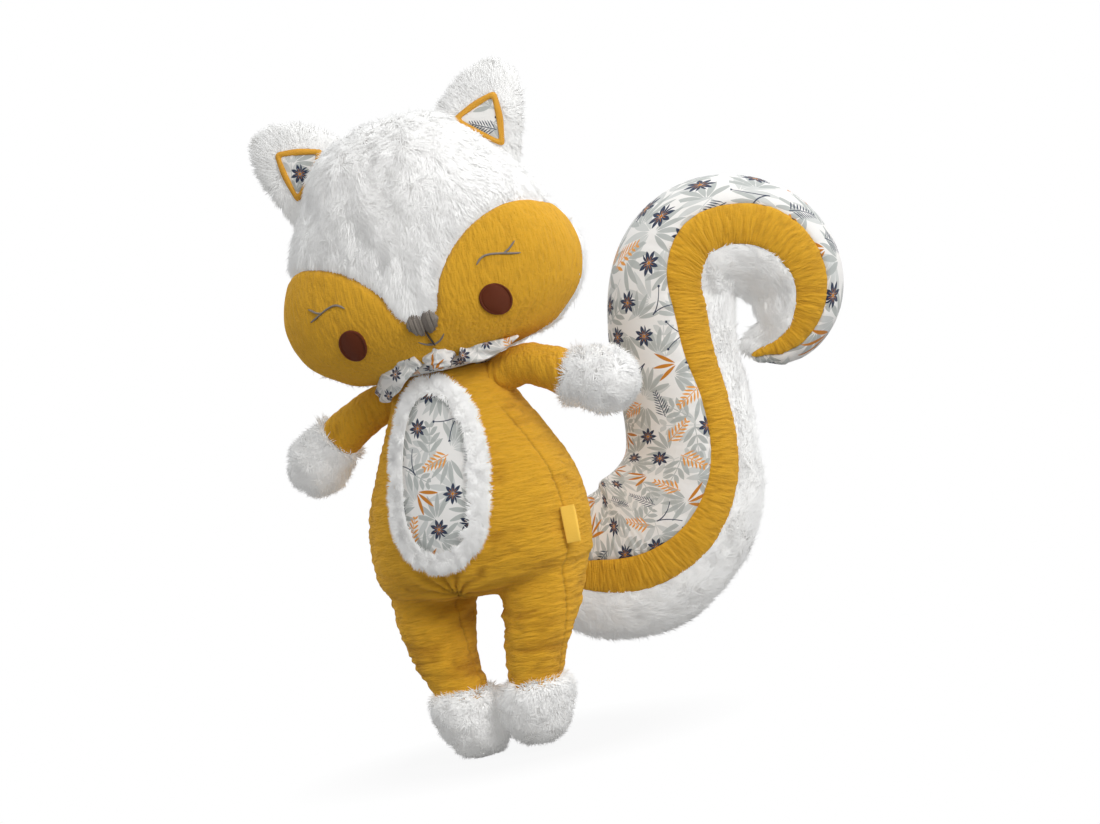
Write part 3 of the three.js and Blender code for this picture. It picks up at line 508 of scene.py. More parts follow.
def twig(x, y, length, curve):
    """Two thin stems that part from one point, each y = curve times x squared, with a bud on top."""
    side = abs(y)
    inside = x.above(0.0, END) * (x * -1.0 + length).above(0.0, END)
    line = (abs(side - x * x * curve) * -1.0 + 0.38).above(0.0, EDGE) * inside
    bud = disc(x - length, side - curve * length * length, 0.75)
    return line.math("MAXIMUM", bud)


class Cell:
    """One square cell of the cloth per point: its own coordinates and its random numbers."""

    def __init__(self, cloth, x, y, size, seed):
        row = (y * (1 / size)).math("FLOOR")
        shifted = x * (1 / size) + row * 0.5
        column = shifted.math("FLOOR")
        draw = cloth.tree.nodes.new("ShaderNodeTexWhiteNoise")
        draw.noise_dimensions = "3D"
        cloth.tree.links.new(cloth.vector(column, row, float(seed)), draw.inputs["Vector"])
        parts = cloth.tree.nodes.new("ShaderNodeSeparateColor")
        cloth.tree.links.new(draw.outputs["Color"], parts.inputs[0])
        red, green, blue = (Field(cloth.tree, parts.outputs[i]) for i in range(3))
        self.kind = Field(cloth.tree, draw.outputs["Value"])
        right = (shifted - column - 0.5 + (red - 0.5) * -0.16) * size
        up = (y * (1 / size) - row - 0.5 + (green - 0.5) * -0.16) * size
        turn = blue * (2 * math.pi)
        cosine, sine = turn.math("COSINE"), turn.math("SINE")
        self.x = right * cosine + up * sine
        self.y = up * cosine - right * sine

    def holds(self, low, high):
        """1 in the cells whose random number lies between two values."""
        return self.kind.math("GREATER_THAN", low) * self.kind.math("LESS_THAN", high)


def printed_cloth(name, size, daisies=0.44, pale=0.9):
    """White cotton with two layers of pale sprays under one layer of small dark and warm motifs. A
    share of the cells holds daisies; the four other motifs part the rest between them."""
    cloth = Cloth(name, COTTON, 0.85, sheen=0.15)
    u, v, _ = cloth.places("UV")
    colour = cloth.colour(COTTON)
    for seed, scale, tint in ((3, 1.3, MIST), (8, 1.05, SAGE)):
        cell = Cell(cloth, u + 7.0 * seed, v, size * scale, seed)
        half = size * scale / 2
        spray = fan(cell.x + half * 0.62, cell.y, 5, 130, 1.2, half * 1.45, half * 0.3)
        colour = cloth.mix(spray * cell.holds(0.0, 0.55) * pale, colour, cloth.colour(tint))
        spray = sprig(cell.x + half * 0.95, cell.y, half * 1.9, half * 0.95, half * 0.5, half * 0.42)
        colour = cloth.mix(spray * cell.holds(0.55, 1.01) * pale, colour, cloth.colour(tint))
    cell = Cell(cloth, u, v + 4.0, size, 21)
    x, y = cell.x, cell.y
    half = size / 2
    parts = [0.0] + [daisies + (1.01 - daisies) * share for share in (0, 0.263, 0.526, 0.754, 1)]
    petals = fan(x, y, 8, 360, 0.4, half * 0.6, half * 0.25)
    heart = fan(x, y, 8, 360, 0.3, half * 0.34, half * 0.05).math("MAXIMUM", disc(x, y, half * 0.1))
    stalk = sprig(x + half * 0.9, y, half * 1.8, half * 0.62, half * 0.3, half * 0.19)
    pair = fan(x + half * 0.7, y, 3, 96, 0.8, half * 1.5, half * 0.24)
    stems = twig(x + half * 0.8, y, half * 1.5, 0.045)
    fern = sprig(x + half * 0.9, y, half * 1.75, half * 0.55, half * 0.2, half * 0.11)
    for motif, part, tint in ((petals, 0, NAVY), (heart, 0, OCHRE), (stalk, 1, ORANGE), (pair, 2, OCHRE),
                              (stems, 3, NAVY), (fern, 4, NAVY)):
        colour = cloth.mix(motif * cell.holds(parts[part], parts[part + 1]), colour, cloth.colour(tint))
    cloth.paint(colour)
    weave = (u * 14.0).math("SINE") * (v * 14.0).math("SINE")
    cloth.emboss(weave * 0.2 + cloth.noise([u * 0.4, v * 0.4, 0.0], 3.0), 0.5, 0.5)
    return cloth.material


tail_print = printed_cloth("printed tail cotton", 16.5)
patch_print = printed_cloth("printed patch cotton", 16.0)
scarf_print = printed_cloth("printed scarf cotton", 12.0, 0.86, 0.5)

# %% Embroidery thread


def thread_cloth(name, colour, dark):
    """Rayon thread: a soft gloss, with fine strands that vary in depth."""
    cloth = Cloth(name, colour, 0.55, sheen=0.04)
    strands = cloth.grain(2.4)
    cloth.paint(cloth.mix((strands - 0.35).limited(0, 1), cloth.colour(colour), cloth.colour(dark)))
    cloth.emboss(strands, 0.3, 0.7)
    return cloth.material


# This thread is the pale thread darkened: painted shade for the nose's deeper threads.
grey_thread = thread_cloth("shaded nose thread", (0.22, 0.19, 0.165), (0.1, 0.085, 0.07))
pale_thread = thread_cloth("pale thread", (0.27, 0.235, 0.2), (0.13, 0.11, 0.09))
dark_thread = thread_cloth("dark thread", (0.06, 0.045, 0.035), (0.03, 0.02, 0.015))
brown_thread = thread_cloth("brown thread", (0.145, 0.026, 0.004), (0.06, 0.01, 0.002))
mustard_thread = thread_cloth("mustard thread", (0.72, 0.36, 0.035), (0.5, 0.22, 0.015))

# %% [markdown]
# Most of the toy is members: stuffed tubes whose sections are ellipses or slightly squared ellipses
# along a path. A row of a member's table gives its middle and its two half sizes, and a smooth curve
# fills in between the rows. A row shrunk to its middle closes each end.

# %% Members


def rounded(angle, wide, deep, squareness=2.0):
    """A section's two coordinates: half size times the cosine or sine to the power 2/squareness."""
    power = 2 / squareness
    cosine, sine = np.cos(angle), np.sin(angle)
    return (wide * np.sign(cosine) * np.abs(cosine) ** power,
            deep * np.sign(sine) * np.abs(sine) ** power)


def level_member(rows, columns, squareness=2.0):
    """A stack of level sections; each row is x, y, z, half width and half depth."""
    x, y = rounded(circle(columns), rows[:, 3:4], rows[:, 4:5], squareness)
    return spread(rows[:, :1] + x, rows[:, 1:2] + y, rows[:, 2:3])


def path_frames(centres, through):
    """For each point of a path: the direction across it and the direction through it, both square
    to the path, the second as near the given one as it can be."""
    along = unit(np.gradient(centres, axis=0))
    through = unit(through - np.sum(through * along, axis=1, keepdims=True) * along)
    return along, np.cross(through, along), through


def path_member(centres, wide, deep, through, angle):
    """Elliptic sections along a path; angle is one row of angles, or a row for each section."""
    _, across, through = path_frames(centres, through)
    angle = np.broadcast_to(angle, (len(centres), np.shape(angle)[-1]))
    x, y = rounded(angle, wide[:, None], deep[:, None])
    return centres[:, None] + x[..., None] * across[:, None] + y[..., None] * through[:, None]


def capped(grid):
    """Closes a tube with a row at the middle of its first and last section."""
    first, last = (np.repeat(end.mean(axis=1, keepdims=True), grid.shape[1], axis=1)
                   for end in (grid[:1], grid[-1:]))
    return np.concatenate([first, grid, last])


def rounded_end(rows, reach):
    """Adds a quarter-round end beyond a level member's last row."""
    angle = np.linspace(0, np.pi / 2, 7)[1:, None]
    last = rows[-1:]
    end = np.concatenate([last[:, :2] + 0 * angle, last[:, 2:3] + reach * np.sin(angle),
                          last[:, 3:] * np.maximum(np.cos(angle), 0.02)], axis=1)
    return np.concatenate([rows, end])


# %% [markdown]
# The torso and the legs are cut from the same two pieces of gauze, so no seam crosses the hips. The
# three forms are joined by a voxel remesh, which melts them into one skin, and smoothed. Then the
# skin is moved along its normals: fine level crepe, deeper folds round the hips and shins, folds
# that fan out from the crotch, and the groove of the side seam.

# %% Torso and legs
CROTCH_Z, TORSO_HEIGHT, TORSO_WIDE, TORSO_DEEP, TORSO_SQUARE = 70.0, 122.0, 60.0, 45.0, 2.2
TORSO_SHARES = np.array([
    [0.08, 0.5, 0.5], [0.1, 0.74, 0.72], [0.15, 0.9, 0.87], [0.22, 0.95, 0.94], [0.37, 0.96, 0.96],
    [0.53, 0.89, 0.89], [0.7, 0.735, 0.74], [0.86, 0.56, 0.59], [0.945, 0.49, 0.52], [1, 0.42, 0.46]])
LEG_LENGTH, LEG_SPREAD, THIGH, FOOT_WIDE, FOOT_LONG = 84.0, 27.0, 25.0, 17.5, 21.0
FOOT_SHARES = np.array([
    [0.01, 0.67, 0.17, 0.2, 0.2], [0.03, 0.67, 0.17, 0.44, 0.44], [0.07, 0.67, 0.17, 0.64, 0.66],
    [0.14, 0.67, 0.168, 0.82, 0.84], [0.23, 0.68, 0.165, 0.95, 0.95], [0.32, 0.7, 0.16, 0.99, 0.93],
    [0.37, 0.71, 0.158, 0.92, 0.83], [0.4, 0.72, 0.157, 0.76, 0.68]])
CALF_SHARES = np.array([
    [0.3, 0.74, 0.157, 0.55, 0.56], [0.38, 0.79, 0.155, 0.555, 0.57], [0.45, 0.845, 0.153, 0.57, 0.585],
    [0.62, 0.975, 0.131, 0.665, 0.69], [0.81, 1.11, 0.071, 0.79, 0.84], [1, 1.16, 0, 0.88, 0.95]])
SEAM_Y = BODY_AXIS[1] - 14.5
LABEL_ROOT = np.array([22.9, -66.4, 106.0])
KNEE_Z, SHIN_LEAN = 46.0, 0.13
WAIST_Z, FAN_Z, FAN_FOLDS = 118.0, 82.0, 11
HIP_TOP, HIP_LOW, GAUZE_END = 67.0, 40.0, 27.0


def torso_middle(z):
    """The belly leans a little to the toy's left."""
    return BODY_AXIS[0] + 2.2 * np.exp(-((z - 140) / 32) ** 2)


def torso_rows(count):
    """The torso's level sections, bottom to top."""
    up, wide, deep = smooth_rows(TORSO_SHARES, np.linspace(0, 1, count)).T
    z = CROTCH_Z + up * TORSO_HEIGHT
    return np.column_stack([torso_middle(z), 0 * z + BODY_AXIS[1], z, wide * TORSO_WIDE, deep * TORSO_DEEP])


def leg_rows(side, shares, wide, deep, count):
    """A leg's level sections from a table of height, spread, forward and half-size shares. The right
    shin leans inwards from the knee down."""
    up, apart, forward, across, through = smooth_rows(shares, np.linspace(0, 1, count)).T
    x = BODY_AXIS[0] + side * apart * LEG_SPREAD
    x += (side < 0) * SHIN_LEAN * np.maximum(KNEE_Z - up * LEG_LENGTH, 0)
    y = BODY_AXIS[1] - forward * LEG_LENGTH
    return np.column_stack([x, y, up * LEG_LENGTH, across * wide, through * deep])


def melted(surfaces, voxel, smoothing):
    """Several closed surfaces as one skin: voxel remesh, smoothing and one subdivision."""
    whole = surfaces[0]
    for surface in surfaces[1:]:
        whole = whole.joined(surface)
    piece = new_piece("melting", whole, gauze)
    union = piece.modifiers.new("union", "REMESH")
    union.mode = "VOXEL"
    union.voxel_size = voxel * MM
    smooth = piece.modifiers.new("smooth", "SMOOTH")
    smooth.iterations = smoothing
    smooth.factor = 0.5
    finer = piece.modifiers.new("finer", "SUBSURF")
    finer.levels = finer.render_levels = 1
    mesh = bpy.data.meshes.new_from_object(piece.evaluated_get(bpy.context.evaluated_depsgraph_get()))
    points = np.empty(len(mesh.vertices) * 3)
    mesh.vertices.foreach_get("co", points)
    quads = np.empty(len(mesh.loops), np.int32)
    mesh.loops.foreach_get("vertex_index", quads)
    bpy.data.objects.remove(piece)
    bpy.data.meshes.remove(mesh)
    return Surface(points.reshape(-1, 3) / MM, quads.reshape(-1, 4))


def crepe(points, fold, seed):
    """Crinkles of double gauze, long on the level and close upwards: 1 in the thin creases, where
    the noise crosses 0, and less on the cushions between them."""
    size = np.array([fold * 4.5, fold * 4.5, fold])
    warp = 2.5 * noise(points / 17, seed + 5)[:, None] * size / fold / 4.5
    return 1 - np.abs(noise((points + warp) / size, seed))


def part_of(surface, kept):
    """The faces of a surface that are kept, with only the points that they use, and those points'
    places in the surface."""
    used, index = np.unique(surface.quads[kept], return_inverse=True)
    return Surface(surface.points[used], index.reshape(-1, 4)), used


forms = [from_grid(capped(level_member(torso_rows(60), 96, TORSO_SQUARE)), around=True)]
for side in (1, -1):
    rows = rounded_end(leg_rows(side, CALF_SHARES, THIGH, THIGH, 40), THIGH)
    forms.append(from_grid(capped(level_member(rows, 64)), around=True))
skin = melted(forms, 1.7, 14)
normals = skin.normals()
x, y, z = (skin.points - [BODY_AXIS[0], BODY_AXIS[1], 0]).T

fine = crepe(skin.points, 2.3, 11)
broad = crepe(skin.points, 4.8, 12)
low = smoothstep(100, 62, z)
waist = np.exp(-((z - WAIST_Z) / 22) ** 2)
fan_angle = np.arctan2(x, z - FAN_Z)
fan_reach = np.exp(-(np.hypot(x * 0.8, z - FAN_Z) / 19) ** 2) * (y < 0)
fan_folds = np.sin(fan_angle * FAN_FOLDS + 2 * noise(skin.points / 9, 14)) * fan_reach
outer = smoothstep(0.35, 0.7, np.abs(normals[:, 0]))
from_seam = skin.points[:, 1] - SEAM_Y
seam = np.exp(-(from_seam / 0.55) ** 2) * outer * smoothstep(176, 158, z)
pucker = np.exp(-(from_seam / 6) ** 2) * outer * np.sin(z * 1.5 + 3 * noise(skin.points / 7, 15))
lift = (0.5 + 0.3 * low) * (0.62 - fine) + (0.5 + 0.6 * low + 0.45 * waist) * (0.64 - broad)
lift += 1.0 * fan_folds - 0.4 * seam + 0.22 * pucker
shown = 0.25 + 0.75 * smoothstep(-0.1, 0.5, noise(skin.points / 15, 17))
# Painted shade: the colour darkens in the crinkles' valleys, in the folds that fan from the crotch and in the
# seam's groove.
crease = 0.12 + (0.4 + 0.2 * low) * shown * smoothstep(0.5, 1.0, fine)
crease += (0.25 + 0.3 * low) * shown * smoothstep(0.6, 1.0, broad) - 0.8 * fan_folds + 0.75 * seam
crease = np.clip(crease, 0, 1)
dent = np.exp(-np.sum(((skin.points - LABEL_ROOT - [-1.5, 0, 0]) / [4.5, 9, 8]) ** 2, axis=1))
lift -= 2.0 * dent
skin.points = skin.points + normals * lift[:, None]
normals = skin.normals()

middles = skin.middles()
for side, hand in ((1, "left"), (-1, "right")):
    own = (side * (middles[:, 0] - BODY_AXIS[0]) > 0) & (middles[:, 2] > GAUZE_END)
    half, used = part_of(skin, own)
    piece = new_piece(f"body_{hand}", half, gauze, weld=False, normals=normals[used], crease=crease[used])
    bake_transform(piece)
    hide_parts("torso_front_panel", "torso_back_panel", "torso_stuffing",
                f"leg_cover_{hand}", f"leg_stuffing_{hand}")
    print(piece.name, len(piece.data.polygons), "faces")


def torso_front(x, z):
    """The torso's front at a width and height from its axis: a squared ellipse solved for y."""
    up, wide, deep = smooth_rows(TORSO_SHARES, np.linspace(0, 1, 400)).T
    share = (z - CROTCH_Z) / TORSO_HEIGHT
    wide = np.interp(share, up, wide) * TORSO_WIDE
    deep = np.interp(share, up, deep) * TORSO_DEEP
    rest = np.clip(1 - np.abs(x / wide) ** TORSO_SQUARE, 0.02, 1)
    return spread(x + torso_middle(z), BODY_AXIS[1] - deep * rest ** (1 / TORSO_SQUARE), z)

# %% [markdown]
# White pile is thousands of bent tufts. Each is a slim roof of four faces: a root, a ridge with two
# eaves where it bends, and a tip. It rises from the backing and then lies over along the way the pile
# is combed. Neighbours lean together into clumps, because the slope of a noise pulls their tips.
# A tuft's shading leans towards the direction of the cloth under it, so the coat reads as one soft
# body and not as needles.

# %% Pile


def scatter(surface, count, rng, weight=1.0):
    """Random places on a surface, evenly by area times a weight for each face. The function that it
    returns takes a value for each point and gives the value at each place."""
    area = np.linalg.norm(surface.facings(), axis=1) * weight
    face = rng.choice(len(area), count, p=area / area.sum())
    s, t = rng.random((2, count, 1))

    def mix(values):
        a, b, c, d = (values[surface.quads[face, k]] for k in range(4))
        return (1 - t) * ((1 - s) * a + s * b) + t * ((1 - s) * d + s * c)

    return mix


SKEW = np.array(Matrix.Rotation(0.7, 3, Vector((0.3, 1.0, 0.5))))


def slope(points, size, seed):
    """Which way a noise of one size rises, and how steeply, as a share of its height over that size.
    Two noises are added, each on a turned lattice, so that no lattice line shows as a parting."""
    size = np.broadcast_to(size, 3).astype(float)

    def height(at):
        return noise((at / size) @ SKEW, seed) + noise((at / size) @ SKEW @ SKEW, seed + 50)

    here = height(points)
    rise = np.stack([height(points + step) - here for step in 0.3 * np.diag(size)], axis=-1) / 0.3
    return 0.7 * rise * size.min() / size


def pile(name, roots, normals, flow, rng, length=9.0, lean=58.0, thick=0.62, clump=0.5, stray=0.3,
         relief=0.3, grain=(5.0, 5.0, 12.0), floor=None):
    """Tufts at the roots: each bends from the surface's direction over to the combed direction."""
    count = len(roots)
    normals = unit(normals)
    wander = rng.normal(size=(count, 3)) * stray
    wander += slope(roots, 4.5, 31) * clump + slope(roots, 16.0, 32) * 0.4
    along = flow + wander
    along = unit(along - np.sum(along * normals, axis=1, keepdims=True) * normals)
    angle = np.radians(lean + rng.normal(size=(count, 1)) * 7)
    reach = np.reshape(length, (-1, 1)) * (0.75 + 0.4 * rng.random((count, 1)))
    bend = roots + reach * 0.45 * (np.cos(angle * 0.6) * normals + np.sin(angle * 0.6) * along)
    tips = bend + reach * 0.55 * (np.cos(angle * 1.25) * normals + np.sin(angle * 1.25) * along)
    across = np.cross(along, normals)
    half = thick / 2 * (0.8 + 0.4 * rng.random((count, 1)))
    upper = bend + half * normals
    right = bend + half * (0.87 * across - 0.5 * normals)
    left = bend - half * (0.87 * across + 0.5 * normals)
    points = np.stack([roots, upper, right, left, tips], axis=1)
    if floor is not None:
        points[..., 2] = np.maximum(points[..., 2], floor)
    outward = np.stack([normals, normals, across, -across, along], axis=1)
    soft = unit(normals - relief * slope(roots, grain, 33))
    shading = unit(0.8 * soft[:, None] + 0.2 * outward)
    faces = np.array([[0, 2, 1], [0, 1, 3], [4, 1, 2], [4, 3, 1]])
    coat = Surface(points.reshape(-1, 3), (np.arange(count)[:, None, None] * 5 + faces).reshape(-1, 3))
    # Painted shade: 1 at a tuft's root, where its neighbours shade it, 0.4 at the bend and 0 at the tip; each
    # tuft adds its own random tone.
    root = np.array([1.0, 0.4, 0.4, 0.4, 0.0]) + 0.7 * (rng.random((count, 1)) ** 2)
    return new_piece(name, coat, pile_white, weld=False, normals=shading.reshape(-1, 3), root=root.ravel())


# %% [markdown]
# The head is a stack of squared ellipses with a slight muzzle. It has its own directions: x to its
# left, y to its back, z to its crown. It is turned 14 degrees to its left and tilted 6.

# %% The head's form
HEAD_WIDE, HEAD_DEEP, HEAD_HIGH, HEAD_SQUARE = 77.0, 48.0, 62.5, 2.3
HEAD_SHARES = np.array([
    [-1, 0.34, 0.34], [-0.96, 0.584, 0.54], [-0.9, 0.727, 0.6875], [-0.736, 0.896, 0.854],
    [-0.576, 0.974, 0.938], [-0.4, 1, 0.985], [-0.2, 0.97, 1], [0.05, 0.865, 1], [0.3, 0.792, 0.979],
    [0.5, 0.74, 0.9], [0.68, 0.645, 0.78], [0.83, 0.5, 0.6], [0.94, 0.31, 0.37], [1, 0.07, 0.09]])
CHEEK_BORDER = np.array([
    [0, -0.72], [0.117, -0.616], [0.158, -0.5], [0.231, -0.332], [0.371, -0.154], [0.54, -0.028],
    [0.727, 0.04], [0.883, 0], [1.1, -0.19]]) * [HEAD_WIDE, HEAD_HIGH]
HEAD_CENTRE = np.array([BODY_AXIS[0], BODY_AXIS[1], 257.7])
HEAD_TURN = np.array(Matrix.Rotation(math.radians(14), 3, "Z") @ Matrix.Rotation(math.radians(-6), 3, "Y"))
head_sections = smooth_rows(HEAD_SHARES, np.linspace(0, 1, 400))
cheek_curve = smooth_rows(CHEEK_BORDER, np.linspace(0, 1, 300))


def on_head(points):
    """From the head's own directions to the toy's."""
    return HEAD_CENTRE + points @ HEAD_TURN.T


def head_section(z):
    """Half width and half depth of the head at a height."""
    up, wide, deep = head_sections.T
    return np.interp(z / HEAD_HIGH, up, wide) * HEAD_WIDE, np.interp(z / HEAD_HIGH, up, deep) * HEAD_DEEP


def muzzled(x, y, z):
    """Pushes the lower middle of the face forward, and draws the hood in where the ears are sewn on."""
    bump = 4.5 * np.exp(-(((z / HEAD_HIGH) + 0.66) / 0.35) ** 2) * np.exp(-(x / (0.42 * HEAD_WIDE)) ** 2)
    dent = 0.1 * np.exp(-((np.abs(x) - 48) / 15) ** 2 - ((z - 33) / 16) ** 2) * smoothstep(22, -6, y)
    return spread(x * (1 - dent), (y - bump * np.clip(-y / 24, 0, 1)) * (1 - 1.6 * dent), z - 0.6 * dent * z)


def face_at(x, z):
    """The face's surface at a width and height, in the head's own directions."""
    wide, deep = head_section(z)
    rest = np.clip(1 - np.abs(x / wide) ** HEAD_SQUARE, 0.001, 1)
    return muzzled(x + 0 * z, -deep * rest ** (1 / HEAD_SQUARE), z + 0 * x)


def head_grid(rows, columns):
    """The whole head, bottom to crown, in its own directions."""
    up, wide, deep = smooth_rows(HEAD_SHARES, np.linspace(0, 1, rows)).T[..., None]
    x, y = rounded(circle(columns), wide * HEAD_WIDE, deep * HEAD_DEEP, HEAD_SQUARE)
    return muzzled(x, y, up * HEAD_HIGH + 0 * x)


def to_curve(x, z, curve):
    """Distance in the picture of the face from each point to a curve."""
    place = spread(x.ravel(), z.ravel())
    nearest = np.full(len(place), 1e9)
    for a, b in zip(curve[:-1], curve[1:]):
        t = np.clip((place - a) @ (b - a) / max((b - a) @ (b - a), 1e-9), 0, 1)
        nearest = np.minimum(nearest, np.linalg.norm(place - a - t[:, None] * (b - a), axis=1))
    return nearest.reshape(x.shape)


def in_cheek(x, y, z):
    """Whether points of the head lie inside a cheek's border, on the front."""
    return (y < 0) & (z < np.interp(np.abs(x), cheek_curve[:, 0], cheek_curve[:, 1]))


# %% [markdown]
# The head's backing is closed and sits under the pile. The pile grows on the hood and on the back of
# the head, and not inside the cheeks' borders. It is combed down the face and away from its middle,
# with a messy hollow in the forehead.

# %% Hood and back of the head
under = from_grid(capped(head_grid(110, 150)), around=True)
under_normals = under.normals()
inset = 3.6
inner = Surface(on_head(under.points - inset * under_normals), under.quads)
head_backing = new_piece("head_backing", inner, backing)
finished(head_backing, "head", ["head_stuffing"], "filling")

rng = np.random.default_rng(3)
middles = under.middles()
for name, front, count, seed in (("hood_pile", True, 48000, 3), ("head_back_pile", False, 42000, 4)):
    half = (middles[:, 1] < 1.0) if front else (middles[:, 1] > -1.0)
    weight = (half & ~in_cheek(*middles.T)).astype(float)
    mix = scatter(under, count, rng, weight)
    roots, facing = mix(under.points), unit(mix(under_normals))
    kept = ~in_cheek(*roots.T)
    roots, facing = roots[kept], facing[kept]
    x, y, z = roots.T
    hollow = np.exp(-(x / 10) ** 2 - ((z - 20) / 26) ** 2) * front
    flow = spread(0.22 * np.sign(x) * (1 - hollow) - x / 9 * hollow, 0, -1)
    length = np.where(y < 0, np.minimum(9.5, 2.2 + 0.95 * to_curve(np.abs(x), z, cheek_curve[::6])), 9.5)
    length *= 1 - 0.6 * np.exp(-((x - 37) / 9) ** 2 - ((z - 48) / 9) ** 2)
    roots = roots - (inset - 0.4 + 2.6 * hollow)[:, None] * facing
    hair = pile(name, on_head(roots), facing @ HEAD_TURN.T, flow @ HEAD_TURN.T, rng, length=length,
                lean=68 - 14 * hollow[:, None], thick=0.52, clump=0.45, stray=0.25, relief=0.24)
    finished(hair, "head", ["head_hood"] if front else ["head_back"], "white_fur")

# %% [markdown]
# A cheek is a gauze petal. Its grid runs from the middle seam round to the side seam, and from the
# petal's border down to the chin. The border is tucked under, the petal swells just inside it, and
# its crinkles run up and down.

# %% Cheeks


def cheek_border(angle):
    """The border's height at each angle round the face: the height that its own width gives back."""
    height = np.zeros_like(angle)
    for _ in range(60):
        wide, _ = head_section(height)
        x = wide * np.sin(angle) ** (2 / HEAD_SQUARE)
        height += 0.3 * (np.interp(x, cheek_curve[:, 0], cheek_curve[:, 1]) - height)
    return height


angle = np.linspace(0.0, np.pi / 2, 170)
border = cheek_border(angle)
for side, hand in ((1, "left"), (-1, "right")):
    v = np.linspace(0, 1, 130)[:, None] ** 1.1
    z = border * (1 - v) - HEAD_HIGH * v
    wide, deep = head_section(z)
    y, x = rounded(angle, deep, wide, HEAD_SQUARE)
    grid = muzzled(side * x, -y, z + 0 * x)
    petal = from_grid(grid, centre=[side * 30, 20, -30])
    normals = petal.normals()
    edge = to_curve(np.abs(x), z, cheek_curve[::6]).ravel()
    reach = 55 * np.arctan2(np.abs(petal.points[:, 0]), 15 - petal.points[:, 1])
    sheet = spread(reach + 2.5 * noise(petal.points / 14, 44), 0, z.ravel() + 40 * side)
    fine = 1 - np.abs(noise(sheet / [2.1, 1, 9.0], 41))
    broad = 1 - np.abs(noise(sheet / [4.6, 1, 17.0], 42))
    seam = np.exp(-(petal.points[:, 0] / 0.9) ** 2) + np.exp(-(petal.points[:, 1] / 0.8) ** 2)
    lift = 0.3 * (0.6 - fine) + 0.4 * (0.6 - broad) - 1.0 * seam + 1.1 - 5.0 * np.exp(-edge / 1.1)
    shown = smoothstep(-0.2, 0.5, noise(petal.points / 13, 45))
    # Painted shade: darker in the crinkles' valleys and along the border that is tucked under.
    crease = shown * (0.22 * smoothstep(0.5, 1.0, fine) + 0.12 * smoothstep(0.6, 1.0, broad))
    crease = np.clip(0.14 + crease + 0.5 * np.exp(-edge / 1.2), 0, 1)
    petal.points = on_head(petal.points + normals * lift[:, None])
    piece = new_piece(f"cheek_petal_{hand}", petal, upright_gauze, weld=False, crease=crease)
    finished(piece, "head", [f"cheek_{hand}"], "mustard_gauze")

# %% [markdown]
# An ear is a flat pad that swells towards its middle. Its grid goes out from the middle to the
# outline on the front and comes back behind. A printed triangle lies in front, inside a border of
# satin stitch: thread after thread, laid across the border side by side.

# %% Ears
EAR_REACH, EAR_FORWARD, EAR_THICK = 44.0, 4.0, 13.0
EAR_OUTLINE = np.array([
    [0.3, 0.98], [0.52, 1.23], [0.88, 1.53], [1.2, 1.66], [1.47, 1.63], [1.6, 1.42], [1.54, 1.08],
    [1.4, 0.68], [1.25, 0.36], [1, 0.36], [0.7, 0.6], [0.42, 0.8]]) * EAR_REACH
EAR_LINING = np.array([[0.86, 1.17], [1.33, 1.29], [1.26, 0.76]]) * EAR_REACH
EAR_LIFT, LINING_SHIFT = {1: 0.0, -1: 4.5}, {1: (0.0, 0.0), -1: (-2.6, 6.5)}
EAR_MIDDLE = np.array([1.12, 1.03]) * EAR_REACH
EAR_FLAT, SATIN_WIDE = 0.8, 3.0


def closed_curve(points, count):
    """A smooth closed curve through points: the same table rule, with the table wrapped round."""
    last = len(points)
    wrapped = np.concatenate([points[-2:], points, points[:3]])
    t = (np.linspace(0, last, count, endpoint=False) + 2) / (len(wrapped) - 1)
    return smooth_rows(wrapped, t)


def stitches(name, starts, ends, outward, material, width=0.5, rise=0.35):
    """Satin stitch: one thread from each start to each end, six-sided, arched up in its middle."""
    starts, ends, outward = (np.asarray(v, float) for v in (starts, ends, outward))
    along = unit(ends - starts)
    across = unit(np.cross(along, outward))
    outward = np.cross(across, along)
    t = np.array([0.0, 0.12, 0.5, 0.88, 1.0])
    arch = np.sqrt(np.clip(1 - (2 * t - 1) ** 2, 0, 1)) * rise - (np.abs(2 * t - 1) > 0.9) * width
    angle = circle(6)
    spine = starts[:, None] + t[:, None] * (ends - starts)[:, None] + arch[:, None] * outward[:, None]
    ring = np.cos(angle)[:, None] * across[:, None, None] + np.sin(angle)[:, None] * outward[:, None, None]
    points = spine[:, :, None] + width / 2 * ring
    count = len(starts)
    index = np.arange(count * 30).reshape(count, 5, 6)
    index = np.concatenate([index, index[:, :, :1]], axis=2)
    corners = [index[:, :-1, :-1], index[:, :-1, 1:], index[:, 1:, 1:], index[:, 1:, :-1]]
    thread = Surface(points.reshape(-1, 3), np.stack(corners, axis=-1).reshape(-1, 4))
    return new_piece(name, thread, material, weld=False)


def in_triangle(count, shrink=1.0):
    """A grid from a triangle's middle to its rounded border."""
    middle = EAR_LINING.mean(axis=0)
    angle = np.linspace(0, 3, count, endpoint=False)
    corner = angle.astype(int)
    share = (angle - corner)[:, None]
    edge = EAR_LINING[corner] * (1 - share) + EAR_LINING[(corner + 1) % 3] * share
    edge = np.mean([np.roll(edge, k, axis=0) for k in range(-(count // 22), count // 22 + 1)], axis=0)
    return middle + (edge - middle) * shrink


def ear_half(share):
    """Half the pad's thickness at a share of the way from its middle to its outline."""
    return EAR_THICK / 2 * np.sqrt(np.clip(1 - share ** 3.2, 0, 1))


